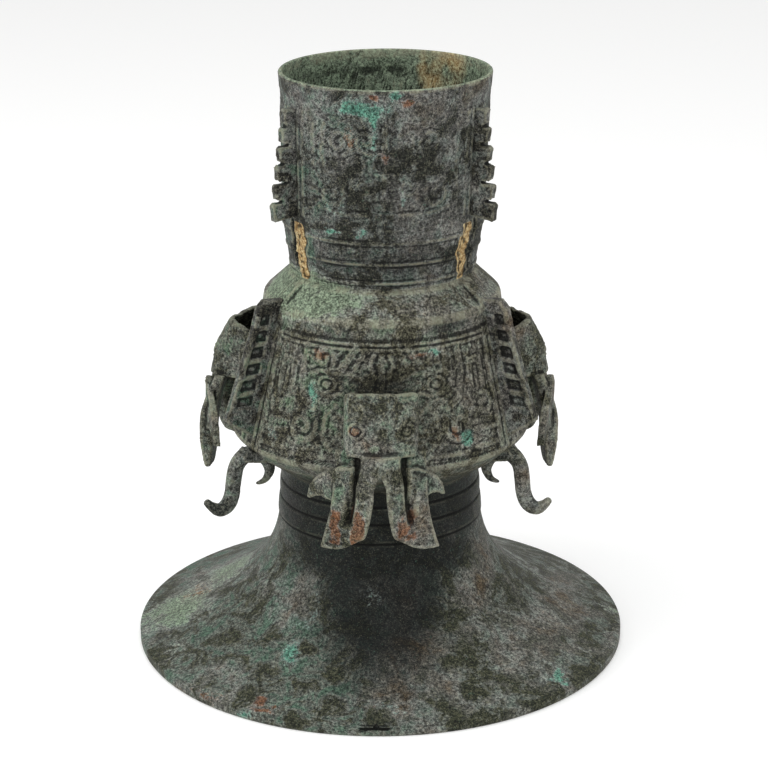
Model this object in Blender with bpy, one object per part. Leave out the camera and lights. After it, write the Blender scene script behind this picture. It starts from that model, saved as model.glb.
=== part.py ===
"""Bronze censer: a wide-mouthed archaic vessel that stands upside down on its trumpet mouth.

The hollow body is one casting, modelled in four nodes that meet at level joints: foot, neck, belly
and cup. Three animal masks with long horns and pointed ears, and three curled trunks, hang on it.
Metres, +Z up. The origin is the middle of the foot's underside and the front mask faces -Y.
Azimuths are degrees about +Z, 0 at the front and positive towards +X.
"""
import math

import bmesh
import bpy
from mathutils import Vector

# Driving sizes of the body, from the floor up
FOOT_RADIUS = 0.1786
LIP_HEIGHT = 0.0065
LIP_WIDTH = 0.0060
FLARE_POWER = 3.8
WALL = 0.0030
NECK_RADIUS = 0.0720
NECK_HEIGHT = 0.1340
RING_SHARES = (0.713, 0.819, 0.916)
RING_STEP = 0.0008
UNDERSIDE_RADIUS = 0.0970
UNDERSIDE_RISE = 0.0180
BELLY_EDGE_RADIUS = 0.1070
CHAMFER_RISE = 0.0100
BELLY_TOP_RADIUS = 0.0860
BELLY_HEIGHT = 0.0870
BAND_TAPER = 0.0020
BAND_HEIGHT = 0.0130
TUBE_BASE_RADIUS = 0.0650
SHOULDER_RISE = 0.0175
TUBE_WAIST_RADIUS = 0.0704
TUBE_BASE_HEIGHT = 0.0360
RIM_RADIUS = 0.0739
TUBE_HEIGHT = 0.1045
RIM_WALL = 0.0024
FLOOR_THICKNESS = 0.0030
LEAN = 0.0052

# Raised lines and decorated panels
LINE_SHARES = (0.54, 0.94)
PANEL_SHARES = (0.11, 0.90)
LINE_RISE = 0.0006
LINE_WIDTH = 0.0024
RELIEF_RISE = 0.0010
RELIEF_SINK = 0.0014
BORDER_WIDTH = 0.0085
RELIEF_WIDTH = 0.0042

# Flanges, windows and the slit in the lip
FLANGE_AZIMUTHS = (60.0, 180.0, 300.0)
FLANGE_THICKNESS = 0.0062
BELLY_FLANGE_TOP = 0.0165
FLANGE_CAP_RISE = 0.0060
FLANGE_CAP_SLANT = 0.0055
BELLY_FLANGE_FOOT = 0.0240
TOE_BOTTOM = 0.08
TOE_TOP = 0.26
RUNG_COUNT = 6
RUNG_WIDTH = 0.0038
RAIL_WIDTH = 0.0040
POCKET_DEPTH = 0.0021
TUBE_FLANGE_TOP = 0.0080
TUBE_FLANGE_FOOT = 0.0180
TOOTH_COUNT = 6
TOOTH_HEIGHT = 0.0102
TOOTH_GAP = 0.0028
TUBE_FLANGE_THICKNESS = 0.0070
WINDOW_AZIMUTHS = (57.0, 180.0, 303.0)
WINDOW_WIDTH = 0.0170
WINDOW_DEPTH = 0.0015
SLIT_WIDTH = 0.0190
SLIT_HEIGHT = 0.0030
SLIT_OFFSET = -0.0034

# Masks
MASK_AZIMUTHS = {"mask_front": 0.0, "mask_right": 120.0, "mask_left": 240.0}
MASK_EXTRA_HEIGHTS = {"mask_front": 0.0, "mask_right": 0.0045, "mask_left": 0.0040}
MASK_SHIFTS = {"mask_front": 0.0, "mask_right": 0.0005, "mask_left": 0.0025}
MASK_SEAT = 0.0210
MASK_HEIGHT = 0.0405
MASK_BROW = 0.54
MASK_HALF_WIDTH = 0.0250
MASK_REACH_TOP = 0.0260
MASK_REACH = 0.0300
MASK_WALL = 0.0036
MASK_CORNER = 0.0100
MUZZLE_EYE_RADIUS = 0.0045
HORN_LENGTH = 0.0695
HORN_THICKNESSES = {"mask_front": 0.0080, "mask_right": 0.0095, "mask_left": 0.0095}
HORN_TURN = 24.0
HORN_GROOVE = 0.0036
HORN_REACH = 0.0270
HORN_BULGE = 0.0169
EAR_SPREAD = 0.0510
EAR_THICKNESS = 0.0042
EAR_DROOPS = {"mask_front": 1.0, "mask_right": 1.33, "mask_left": 1.33}
EAR_BEND = 0.60

# Trunks
TRUNK_THICKNESS = 0.0118
TRUNK_WIDTH = 0.0104
TRUNK_DROP = 0.0332
CLAW_THICKNESS = 0.0088
TRUNK_ROOT_WIDTH = 0.0130
TRUNK_AZIMUTHS = {"trunk_right": 60.0, "trunk_back": 180.0, "trunk_left": 300.0}
TRUNK_SHIFTS = {"trunk_right": -0.0016, "trunk_back": 0.0, "trunk_left": 0.0014}

# Level joint between foot and neck, gap between nodes, and columns of the turned walls
FOOT_JOINT = 0.0550
CLEARANCE = 0.0003
SEGMENTS = 36

NECK_END = NECK_HEIGHT
RING_HEIGHTS = tuple(NECK_END * share for share in RING_SHARES)
FLARE_TOP = NECK_END + WALL
UNDERSIDE_END = NECK_END + UNDERSIDE_RISE
CHAMFER_END = UNDERSIDE_END + CHAMFER_RISE
BELLY_END = CHAMFER_END + BELLY_HEIGHT
BAND_END = BELLY_END + BAND_HEIGHT
SHOULDER_END = BAND_END + SHOULDER_RISE
WAIST = SHOULDER_END + TUBE_BASE_HEIGHT
RIM = WAIST + TUBE_HEIGHT
MASK_BOTTOM = CHAMFER_END + MASK_SEAT
SHOULDER_RADIUS = BELLY_TOP_RADIUS - BAND_TAPER
CUP_JOINT = SHOULDER_END - FLOOR_THICKNESS


def mix(a, b, share):
    """Value a share of the way from a to b."""
    return a + (b - a) * share


def direction(azimuth):
    """Unit vector on the floor plane at an azimuth in degrees."""
    angle = math.radians(azimuth)
    return Vector((math.sin(angle), -math.cos(angle), 0.0))


def flare(height):
    """Outer radius of the trumpet foot at a height above its lip."""
    share = max(0.0, (FLARE_TOP - height) / (FLARE_TOP - LIP_HEIGHT))
    return NECK_RADIUS + (FOOT_RADIUS - NECK_RADIUS) * share ** FLARE_POWER


def outer_profile():
    """Outline of the body's outside, (radius, height) from the floor to the rim."""
    points = [(FOOT_RADIUS, 0.0), (FOOT_RADIUS, LIP_HEIGHT)]
    lowest_ring = RING_HEIGHTS[0]
    for step in (0.06, 0.15, 0.26, 0.40, 0.60, 0.80, 0.98):
        height = mix(LIP_HEIGHT, lowest_ring, step)
        points.append((flare(height), height))
    rings = len(RING_HEIGHTS)
    for index, height in enumerate(RING_HEIGHTS):
        above = NECK_RADIUS + RING_STEP * (rings - index) * 0.5
        points.append((above - RING_STEP, height))
        points.append((above, height + RING_STEP))
    points.append((NECK_RADIUS, NECK_END))
    points.append((UNDERSIDE_RADIUS, UNDERSIDE_END))
    points.append((BELLY_EDGE_RADIUS, CHAMFER_END))
    points.append((BELLY_TOP_RADIUS - LINE_RISE, BELLY_END - LINE_WIDTH))
    points.append((BELLY_TOP_RADIUS, BELLY_END))
    points.append((SHOULDER_RADIUS, BAND_END))
    points.append((TUBE_BASE_RADIUS, SHOULDER_END))
    for share in LINE_SHARES:
        radius = mix(TUBE_BASE_RADIUS, TUBE_WAIST_RADIUS, share)
        height = mix(SHOULDER_END, WAIST, share)
        points.append((radius, height))
        points.append((radius + LINE_RISE, height + LINE_WIDTH / 2))
    points.append((TUBE_WAIST_RADIUS, WAIST))
    for share, below, above in ((PANEL_SHARES[0], 0.0, 1.0), (PANEL_SHARES[1], 1.0, 0.0)):
        radius = mix(TUBE_WAIST_RADIUS, RIM_RADIUS, share)
        height = mix(WAIST, RIM, share)
        points.append((radius + LINE_RISE * below, height))
        points.append((radius + LINE_RISE * above, height + LINE_WIDTH / 2))
    points.append((RIM_RADIUS, RIM))
    return points


def inner_profile():
    """Outline of the cavity above the foot, from the lip up to the cup's floor."""
    points = [(FOOT_RADIUS - LIP_WIDTH, 0.0)]
    for step in (0.05, 0.15, 0.29, 0.48, 0.85):
        height = mix(LIP_HEIGHT, RING_HEIGHTS[0], step)
        slope = (flare(height + WALL / 10) - flare(height - WALL / 10)) / (WALL / 5)
        length = math.hypot(1.0, slope)
        points.append((flare(height) - WALL / length, height + WALL * slope / length))
    points.append((NECK_RADIUS - WALL, NECK_END + WALL / 3))
    points.append((UNDERSIDE_RADIUS - WALL / 3, UNDERSIDE_END + WALL * 1.1))
    points.append((BELLY_EDGE_RADIUS - WALL * 1.1, CHAMFER_END + WALL * 0.3))
    points.append((BELLY_TOP_RADIUS - WALL, BELLY_END))
    points.append((SHOULDER_RADIUS - WALL, BAND_END - WALL * 0.5))
    points.append((TUBE_BASE_RADIUS - WALL * 0.6, SHOULDER_END - FLOOR_THICKNESS))
    return points


def cup_profile():
    """Outline of the cup's inside, from the rim down to its floor."""
    return [
        (RIM_RADIUS - RIM_WALL, RIM),
        (TUBE_WAIST_RADIUS - WALL, WAIST),
        (TUBE_BASE_RADIUS - WALL, SHOULDER_END + WALL),
        (TUBE_BASE_RADIUS - WALL * 2, SHOULDER_END),
    ]


def radius_at(points, height):
    """Radius of a rising outline at a height."""
    for low, high in zip(points, points[1:]):
        if height <= high[1] and high[1] > low[1]:
            return mix(low[0], high[0], (height - low[1]) / (high[1] - low[1]))
    return points[-1][0]


def outer_radius(height):
    """Outer radius of the body at a height, read from its outline above the neck."""
    return radius_at([point for point in outer_profile() if point[1] >= CHAMFER_END - CLEARANCE], height)


def stretch(points, low, high):
    """Stretch of a rising outline between two levels."""
    between = [point for point in points if low + CLEARANCE < point[1] < high - CLEARANCE]
    return [(radius_at(points, low), low)] + between + [(radius_at(points, high), high)]


def new_object(name, mesh_builder):
    """Object made from a bmesh with its faces turned outwards."""
    bmesh.ops.remove_doubles(mesh_builder, verts=mesh_builder.verts, dist=1e-6)
    bmesh.ops.recalc_face_normals(mesh_builder, faces=mesh_builder.faces)
    mesh = bpy.data.meshes.new(name)
    mesh_builder.to_mesh(mesh)
    mesh_builder.free()
    item = bpy.data.objects.new(name, mesh)
    bpy.context.scene.collection.objects.link(item)
    return item


def revolve(builder, points, is_ring=False):
    """Closed solid turned about Z from an outline: its ends lie on the axis, or it closes on itself."""
    rings = []
    for radius, height in points:
        if radius == 0.0:
            rings.append([builder.verts.new((0.0, 0.0, height))])
            continue
        ring = []
        for index in range(SEGMENTS):
            spot = direction(360.0 * index / SEGMENTS) * radius
            ring.append(builder.verts.new((spot.x, spot.y, height)))
        rings.append(ring)
    if is_ring:
        rings.append(rings[0])
    for low, high in zip(rings, rings[1:]):
        for index in range(SEGMENTS):
            after = (index + 1) % SEGMENTS
            if len(low) == 1:
                builder.faces.new((low[0], high[index], high[after]))
            elif len(high) == 1:
                builder.faces.new((low[index], low[after], high[0]))
            else:
                builder.faces.new((low[index], low[after], high[after], high[index]))


def loft(builder, sections):
    """Closed solid through sections of equal length, capped at both ends."""
    rows = [[builder.verts.new(point) for point in section] for section in sections]
    count = len(rows[0])
    for low, high in zip(rows, rows[1:]):
        for index in range(count):
            after = (index + 1) % count
            builder.faces.new((low[index], low[after], high[after], high[index]))
    builder.faces.new(rows[0])
    builder.faces.new(list(reversed(rows[-1])))


def combine(target, tool, operation):
    """Boolean applied to the target, and the tool removed."""
    modifier = target.modifiers.new(operation.title(), "BOOLEAN")
    modifier.operation = operation
    modifier.solver = "EXACT"
    modifier.use_self = operation == "UNION"
    modifier.object = tool
    bpy.context.view_layer.update()
    evaluated = target.evaluated_get(bpy.context.evaluated_depsgraph_get())
    mesh = bpy.data.meshes.new_from_object(evaluated)
    target.modifiers.clear()
    target.data = mesh
    bpy.data.objects.remove(tool)


def plane_point(azimuth, radius, height, side=0.0):
    """Point in the upright plane at an azimuth, moved sideways to the right of a viewer facing it."""
    across = direction(azimuth + 90.0)
    spot = direction(azimuth) * radius + across * side
    return Vector((spot.x, spot.y, height))


def surface_point(azimuth, side, height, lift):
    """Point a lift above the body's wall, a length along the wall from an azimuth."""
    radius = outer_radius(height)
    turned = azimuth + math.degrees(side / radius)
    return plane_point(turned, radius + lift, height)


def strip(builder, azimuth, path, width):
    """Raised strip that follows the wall through (side, height) points."""
    sections = []
    for index, (side, height) in enumerate(path):
        before = Vector(path[max(index - 1, 0)])
        after = Vector(path[min(index + 1, len(path) - 1)])
        along = (after - before).normalized()
        normal = Vector((-along.y, along.x)) * width / 2
        left = (side + normal.x, height + normal.y)
        right = (side - normal.x, height - normal.y)
        sections.append([
            surface_point(azimuth, *left, RELIEF_RISE),
            surface_point(azimuth, *right, RELIEF_RISE),
            surface_point(azimuth, *right, -RELIEF_SINK),
            surface_point(azimuth, *left, -RELIEF_SINK),
        ])
    loft(builder, sections)


def boss(builder, azimuth, side, height, half_width, half_height, sides=7):
    """Raised oval with a smaller top, for an eye."""
    rows = []
    for scale, lift in ((1.0, -RELIEF_SINK), (1.0, RELIEF_RISE * 0.7), (0.55, RELIEF_RISE * 2)):
        row = []
        for index in range(sides):
            angle = 2 * math.pi * index / sides
            row.append(surface_point(
                azimuth,
                side + half_width * scale * math.cos(angle),
                height + half_height * scale * math.sin(angle),
                lift,
            ))
        rows.append(row)
    loft(builder, rows)


def curl(centre, radius, start, end, steps):
    """Points along an arc in degrees, for curled horns."""
    points = []
    for index in range(steps + 1):
        angle = math.radians(mix(start, end, index / steps))
        points.append((centre[0] + radius * math.cos(angle), centre[1] + radius * math.sin(angle)))
    return points


def mirrored(path, sign):
    """Path on one half of a face, turned over for the other half."""
    return [(side * sign, height) for side, height in path]


def belly_face(builder, azimuth):
    """Animal face on the belly between two ladder flanges."""
    low = CHAMFER_END
    panel = BELLY_HEIGHT
    edge = math.radians(60.0)
    for sign in (-1.0, 1.0):
        border = []
        for share in (0.05, 0.97):
            height = low + panel * share
            inset = FLANGE_THICKNESS / 2 + BORDER_WIDTH * 0.75
            border.append(((outer_radius(height) * edge - inset) * sign, height))
        strip(builder, azimuth, border, BORDER_WIDTH)
        boss(builder, azimuth, 0.038 * sign, low + panel * 0.655, 0.0065, 0.0050)
        brow = [(0.012, low + panel * 0.885), (0.024, low + panel * 0.79), (0.046, low + panel * 0.77)]
        strip(builder, azimuth, mirrored(brow, sign), RELIEF_WIDTH * 1.1)
        horn = curl((0.062, low + panel * 0.80), 0.0085, -150.0, 95.0, 3)
        strip(builder, azimuth, mirrored(horn, sign), RELIEF_WIDTH)
        cheek = [(0.053, low + panel * 0.62), (0.070, low + panel * 0.60), (0.077, low + panel * 0.44)]
        strip(builder, azimuth, mirrored(cheek, sign), RELIEF_WIDTH)
        jaw = curl((0.053, low + panel * 0.36), 0.0125, 150.0, -60.0, 3)
        strip(builder, azimuth, mirrored(jaw, sign), RELIEF_WIDTH)
        paw = [(0.036, low + panel * 0.10), (0.078, low + panel * 0.13)]
        strip(builder, azimuth, mirrored(paw, sign), RELIEF_WIDTH)


def tube_face(builder, azimuth):
    """Animal face on the tube between two toothed flanges."""
    low = WAIST
    panel = TUBE_HEIGHT
    strip(builder, azimuth, [(0.0, low + panel * 0.18), (0.0, low + panel * 0.82)], RELIEF_WIDTH * 0.8)
    for sign in (-1.0, 1.0):
        boss(builder, azimuth, 0.020 * sign, low + panel * 0.52, 0.0060, 0.0042)
        horn = curl((0.026, low + panel * 0.71), 0.0085, -120.0, 110.0, 3)
        strip(builder, azimuth, mirrored(horn, sign), RELIEF_WIDTH)
        cheek = curl((0.036, low + panel * 0.40), 0.0120, 75.0, -120.0, 3)
        strip(builder, azimuth, mirrored(cheek, sign), RELIEF_WIDTH)


def relief(face):
    """The raised figures that a function draws on each third of the body, as one tool."""
    builder = bmesh.new()
    for azimuth in MASK_AZIMUTHS.values():
        face(builder, azimuth)
    return new_object("relief", builder)


def ladder_rows():
    """Heights that part a ladder flange into rungs and pockets, from its foot to its top."""
    low = CHAMFER_END + BELLY_HEIGHT * 0.36
    high = BAND_END - RUNG_WIDTH
    pitch = (high - low + RUNG_WIDTH) / RUNG_COUNT
    rows = []
    for index in range(RUNG_COUNT):
        rows.append(low + pitch * index)
        rows.append(low + pitch * (index + 1) - RUNG_WIDTH)
    return rows


def ladder_reach(height):
    """Outer radius of a ladder flange at a height."""
    low = CHAMFER_END + BELLY_HEIGHT * TOE_TOP
    share = min(1.0, max(0.0, (height - low) / (BAND_END - low)))
    return outer_radius(height) + mix(BELLY_FLANGE_FOOT, BELLY_FLANGE_TOP, share)


def ladder_stations():
    """Rows of (radius, height) stations across a ladder flange, the lowest row slanting up outwards."""
    low = CHAMFER_END + BELLY_HEIGHT * TOE_BOTTOM
    high = CHAMFER_END + BELLY_HEIGHT * TOE_TOP
    inside = outer_radius(low) - WALL / 2
    outside = ladder_reach(high)
    shares = (0.0, 0.3, 0.85, 1.0)
    rows = [[(mix(inside, outside, share), mix(low, high, share)) for share in shares]]
    heights = ladder_rows()
    for height in [heights[0] - RUNG_WIDTH] + heights + [BAND_END]:
        wall = outer_radius(height)
        reach = ladder_reach(height)
        radii = (wall - WALL / 2, wall + RAIL_WIDTH * 0.6, reach - RAIL_WIDTH, reach)
        rows.append([(radius, height) for radius in radii])
    height = BAND_END + FLANGE_CAP_RISE
    wall = outer_radius(height)
    reach = ladder_reach(BAND_END) - FLANGE_CAP_SLANT
    radii = (wall - WALL / 2, wall + RAIL_WIDTH * 0.6, reach - RAIL_WIDTH, reach)
    rows.append([(radius, height) for radius in radii])
    return rows


def ladder_flange(builder, azimuth):
    """Ladder-like flange on the belly: a plate with pockets between its rungs on both faces."""
    across = direction(azimuth + 90.0)
    rows = ladder_stations()
    last = len(rows) - 1
    grid = {}
    for side in (-1.0, 1.0):
        for row, stations in enumerate(rows):
            for column, (radius, height) in enumerate(stations):
                spot = plane_point(azimuth, radius, height, side * FLANGE_THICKNESS / 2)
                grid[side, row, column] = builder.verts.new(spot)
    for side in (-1.0, 1.0):
        for row in range(last):
            for column in range(3):
                face = builder.faces.new((
                    grid[side, row, column],
                    grid[side, row, column + 1],
                    grid[side, row + 1, column + 1],
                    grid[side, row + 1, column],
                ))
                is_pocket = column == 1 and 2 <= row < last - 2 and row % 2 == 0
                if is_pocket:
                    sink_face(builder, face, across * -side * POCKET_DEPTH)
    for row in range(last):
        for column in (0, 3):
            builder.faces.new((
                grid[-1.0, row, column],
                grid[1.0, row, column],
                grid[1.0, row + 1, column],
                grid[-1.0, row + 1, column],
            ))
    for column in range(3):
        for row in (0, last):
            builder.faces.new((
                grid[-1.0, row, column],
                grid[1.0, row, column],
                grid[1.0, row, column + 1],
                grid[-1.0, row, column + 1],
            ))


def sink_face(builder, face, move):
    """Pocket: the face pushed in by a move, with walls round it."""
    result = bmesh.ops.extrude_discrete_faces(builder, faces=[face])
    for sunk in result["faces"]:
        bmesh.ops.translate(builder, verts=sunk.verts, vec=move)


def ladder_flanges():
    """The three ladder flanges, as one tool."""
    builder = bmesh.new()
    for azimuth in FLANGE_AZIMUTHS:
        ladder_flange(builder, azimuth)
    return new_object("ladder_flanges", builder)


def tooth_outline():
    """Outline of a toothed flange, (radius, height), from its inner foot round its teeth."""
    pitch = TOOTH_HEIGHT + TOOTH_GAP
    low = WAIST + TUBE_HEIGHT * 0.095
    high = low + pitch * TOOTH_COUNT - TOOTH_GAP
    outline = [(outer_radius(low) - WALL / 2, low)]
    for index in range(TOOTH_COUNT):
        start = low + pitch * index
        end = start + TOOTH_HEIGHT
        share = index / (TOOTH_COUNT - 1)
        reach = mix(TUBE_FLANGE_FOOT, TUBE_FLANGE_TOP, share)
        droop = TOOTH_GAP * 0.9 if index == 0 else 0.0
        outline.append((outer_radius(start) + reach * 0.94, start - droop))
        outline.append((outer_radius(end) + reach, end - TOOTH_GAP * 0.4))
        outline.append((outer_radius(end) + reach * 0.9, end))
        if index < TOOTH_COUNT - 1:
            root = 0.36 if index % 2 else 0.58
            outline.append((outer_radius(end) + reach * root, end))
            outline.append((outer_radius(end) + reach * root, end + TOOTH_GAP))
    outline.append((outer_radius(high) - WALL / 2, high))
    return outline


def toothed_flanges():
    """The three toothed flanges on the tube, as one tool."""
    builder = bmesh.new()
    outline = tooth_outline()
    half = TUBE_FLANGE_THICKNESS / 2
    for azimuth in FLANGE_AZIMUTHS:
        loft(builder, [
            [plane_point(azimuth, radius, height, -half) for radius, height in outline],
            [plane_point(azimuth, radius, height, half) for radius, height in outline],
        ])
    return new_object("toothed_flanges", builder)


def window_cutters():
    """Shallow recesses where earth fills the tube's three pierced windows."""
    builder = bmesh.new()
    low = SHOULDER_END + WALL * 0.7
    high = WAIST + TUBE_HEIGHT * 0.07
    for azimuth in WINDOW_AZIMUTHS:
        rows = []
        for share in (0.0, 0.55, 1.0):
            height = mix(low, high, share)
            inside = outer_radius(height) - WINDOW_DEPTH
            half = WINDOW_WIDTH / 2 * mix(0.8, 1.0, math.sin(math.pi * share))
            rows.append([
                plane_point(azimuth, inside, height, -half),
                plane_point(azimuth, inside, height, half),
                plane_point(azimuth, inside + WINDOW_DEPTH * 8, height, half),
                plane_point(azimuth, inside + WINDOW_DEPTH * 8, height, -half),
            ])
        loft(builder, rows)
    return new_object("windows", builder)


def slit_cutter():
    """Slit through the front of the foot's lip."""
    builder = bmesh.new()
    middle = LIP_HEIGHT * 0.84
    outline = [(-0.5, -0.25), (-0.1, -0.45), (0.42, -0.4), (0.5, 0.05), (0.1, 0.5), (-0.35, 0.4)]
    rows = []
    for radius in (FOOT_RADIUS - LIP_WIDTH * 1.6, FOOT_RADIUS + LIP_WIDTH):
        rows.append([
            plane_point(0.0, radius, middle + SLIT_HEIGHT * up, SLIT_OFFSET + SLIT_WIDTH * across)
            for across, up in outline
        ])
    loft(builder, rows)
    return new_object("slit", builder)


def lean(item):
    """The vessel leans a little to the right of upright, above its neck."""
    for vertex in item.data.vertices:
        share = (vertex.co.z - NECK_END) / (RIM - NECK_END)
        if share > 0.0:
            vertex.co.x += LEAN * share


def wall_ring(name, low, high):
    """Ring of the body's wall between two levels, a clearance short of the next node."""
    builder = bmesh.new()
    top = high - CLEARANCE
    revolve(builder, stretch(outer_profile(), low, top) + stretch(inner_profile(), low, top)[::-1], True)
    return new_object(name, builder)


def foot():
    """Flared foot with the slit through its lip."""
    item = wall_ring("foot", 0.0, FOOT_JOINT)
    combine(item, slit_cutter(), "DIFFERENCE")
    return item


def belly():
    """Hollow belly and shoulder with its ladder flanges and relief."""
    item = wall_ring("belly", NECK_END, CUP_JOINT)
    combine(item, ladder_flanges(), "UNION")
    combine(item, relief(belly_face), "UNION")
    return item


def cup():
    """Tube and floor of the cup, with its toothed flanges, relief and windows."""
    builder = bmesh.new()
    outside = stretch(outer_profile(), CUP_JOINT, RIM)
    revolve(builder, [(0.0, CUP_JOINT)] + outside + cup_profile() + [(0.0, SHOULDER_END)])
    item = new_object("cup", builder)
    combine(item, window_cutters(), "DIFFERENCE")
    combine(item, toothed_flanges(), "UNION")
    combine(item, relief(tube_face), "UNION")
    return item


def belly_cutter(name, gap):
    """Solid of the belly's outside, a gap larger, that trims the masks and trunks to fit."""
    points = [
        (0.0, RING_HEIGHTS[0]),
        (NECK_RADIUS + gap, RING_HEIGHTS[0]),
        (NECK_RADIUS + gap, NECK_END - gap * 0.8),
        (UNDERSIDE_RADIUS + gap * 0.8, UNDERSIDE_END - gap),
        (BELLY_EDGE_RADIUS + gap * 1.2, CHAMFER_END - gap * 0.3),
        (BELLY_TOP_RADIUS + gap * 1.2, BELLY_END),
        (SHOULDER_RADIUS + gap, BAND_END),
        (0.0, BAND_END),
    ]
    builder = bmesh.new()
    revolve(builder, points)
    return new_object(name, builder)


def mask_plan(azimuth, height, reach, inset):
    """Rounded plan of a mask's block at a height, reaching back inside the belly."""
    half = MASK_HALF_WIDTH - inset
    corner = MASK_CORNER - inset * 0.7
    front = outer_radius(height) + reach - inset
    back = BELLY_TOP_RADIUS * 0.8
    right = [(half, back), (half, front - corner)]
    for angle in (30.0, 60.0):
        turn = math.radians(angle)
        right.append((half - corner + corner * math.cos(turn), front - corner + corner * math.sin(turn)))
    right.append((half - corner, front))
    plan = right + [(-side, radius) for side, radius in reversed(right)]
    return [plane_point(azimuth, radius, height, side) for side, radius in plan]


def mask_block(azimuth, top, shift):
    """Hollow muzzle block of a mask, open at its top."""
    builder = bmesh.new()
    brow = mix(MASK_BOTTOM, top, MASK_BROW)
    reach = MASK_REACH + shift
    reach_top = MASK_REACH_TOP + shift
    levels = (
        (MASK_BOTTOM, reach - MASK_WALL * 0.6),
        (MASK_BOTTOM + MASK_WALL * 1.5, reach),
        (brow, mix(reach, reach_top, 0.1) + MASK_WALL * 0.5),
        (top, reach_top),
    )
    loft(builder, [mask_plan(azimuth, height, out, 0.0) for height, out in levels])
    block = new_object("block", builder)
    builder = bmesh.new()
    floor = MASK_BOTTOM + MASK_WALL
    hollow = (
        (floor, reach - MASK_WALL * 0.6),
        (floor + MASK_WALL, reach),
        (brow, reach),
        (top + MASK_WALL, reach_top),
    )
    loft(builder, [mask_plan(azimuth, height, out, MASK_WALL) for height, out in hollow])
    combine(block, new_object("hollow", builder), "DIFFERENCE")
    return block


def horn_face(height_share):
    """Inner edge, outer edge and reach of a horn, by its share of the way down."""
    inner = mix(0.0042, 0.0090, height_share ** 2)
    outer = mix(0.0300, 0.0405, max(0.0, height_share * 1.6 - 0.6) ** 1.5)
    bulge = HORN_BULGE * math.sin(math.pi * height_share * 0.70)
    reach = BELLY_EDGE_RADIUS + HORN_REACH + bulge - 0.0030 * height_share ** 4
    return inner, outer, reach


def horn_point(azimuth, sign, reach, side, height, depth):
    """Point on a horn: its face turns away from the front by the horn's turn."""
    turn = math.radians(HORN_TURN)
    radius = reach - side * math.tan(turn) - depth * math.cos(turn)
    return plane_point(azimuth, radius, height, sign * (side - depth * math.sin(turn)))


def horn(azimuth, sign, shift, thickness):
    """One long horn: two lobes with a groove between them that join in a flared hoof-like end."""
    builder = bmesh.new()
    sections = []
    for share in (0.0, 0.20, 0.42, 0.62, 0.74, 0.88, 1.0):
        inner, outer, reach = horn_face(share)
        groove = HORN_GROOVE if share < 0.7 else HORN_GROOVE * 0.15
        pinch = 1.0 - 0.66 * share ** 5
        back = thickness * pinch
        shape = (
            (0.0, 0.0), (0.40, 0.0), (0.46, groove), (0.60, groove), (0.66, 0.0),
            (1.0, 0.0), (1.0, back), (0.5, back), (0.0, back),
        )
        section = []
        for across, depth in shape:
            lift = HORN_LENGTH * 0.14 * (1.0 - across) ** 2 * share ** 6
            height = MASK_BOTTOM + MASK_WALL / 2 - HORN_LENGTH * share + lift
            side = mix(inner, outer, across)
            section.append(horn_point(azimuth, sign, reach + shift, side, height, depth))
        sections.append(section)
    loft(builder, sections)
    return new_object("horn", builder)


def ear(azimuth, sign, shift, droop):
    """Pointed ear beside a horn that bends back and hooks down."""
    builder = bmesh.new()
    top = MASK_BOTTOM - HORN_LENGTH * 0.17
    root = EAR_SPREAD * 0.43
    outline = (
        (root, 0.0), (EAR_SPREAD * 0.64, -0.0010), (EAR_SPREAD * 0.88, -0.0065), (EAR_SPREAD, -0.0255),
        (EAR_SPREAD * 0.94, -0.0240), (EAR_SPREAD * 0.84, -0.0180), (root, -0.0210),
    )
    reach = horn_face(0.45)[2] + shift
    rows = []
    for depth in (EAR_THICKNESS * 0.4, EAR_THICKNESS * 1.4):
        row = []
        for side, drop in outline:
            bent = reach - max(0.0, side - EAR_SPREAD * 0.55) * EAR_BEND
            row.append(horn_point(azimuth, sign, bent, side, top + drop * droop, depth))
        rows.append(row)
    loft(builder, rows)
    return new_object("ear", builder)


def muzzle_eye(azimuth, sign, shift):
    """Round eye on the front of a mask's block."""
    builder = bmesh.new()
    height = MASK_BOTTOM + MASK_HEIGHT * 0.42
    front = outer_radius(height) + MASK_REACH + shift
    rows = []
    for radius, depth in ((1.0, -MASK_WALL), (1.0, 0.0004), (0.6, 0.0014)):
        row = []
        for index in range(10):
            angle = 2 * math.pi * index / 10
            side = sign * MASK_HALF_WIDTH * 0.56 + MUZZLE_EYE_RADIUS * radius * math.cos(angle)
            level = height + MUZZLE_EYE_RADIUS * radius * math.sin(angle)
            row.append(plane_point(azimuth, front + depth, level, side))
        rows.append(row)
    loft(builder, rows)
    return new_object("muzzle_eye", builder)


def mask(name, azimuth):
    """Animal mask: hollow block, two horns and two ears in one casting."""
    shift = MASK_SHIFTS[name]
    item = mask_block(azimuth, MASK_BOTTOM + MASK_HEIGHT + MASK_EXTRA_HEIGHTS[name], shift)
    for sign in (-1.0, 1.0):
        combine(item, horn(azimuth, sign, shift, HORN_THICKNESSES[name]), "UNION")
        combine(item, ear(azimuth, sign, shift, EAR_DROOPS[name]), "UNION")
        combine(item, muzzle_eye(azimuth, sign, shift), "UNION")
    combine(item, belly_cutter("trim", CLEARANCE), "DIFFERENCE")
    item.name = name
    return item


def tube_along(builder, azimuth, path, sides=8):
    """Round limb in an upright plane through (radius, height, thickness) stations."""
    sections = []
    for index, (radius, height, thickness) in enumerate(path):
        before = Vector(path[max(index - 1, 0)][:2])
        after = Vector(path[min(index + 1, len(path) - 1)][:2])
        along = (after - before).normalized()
        normal = Vector((-along.y, along.x))
        section = []
        for step in range(sides):
            angle = 2 * math.pi * (step + 0.5) / sides
            out = math.cos(angle) * thickness / 2
            across = math.sin(angle) * thickness / 2 * TRUNK_WIDTH / TRUNK_THICKNESS
            section.append(plane_point(azimuth, radius + normal.x * out, height + normal.y * out, across))
        sections.append(section)
    loft(builder, sections)


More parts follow.
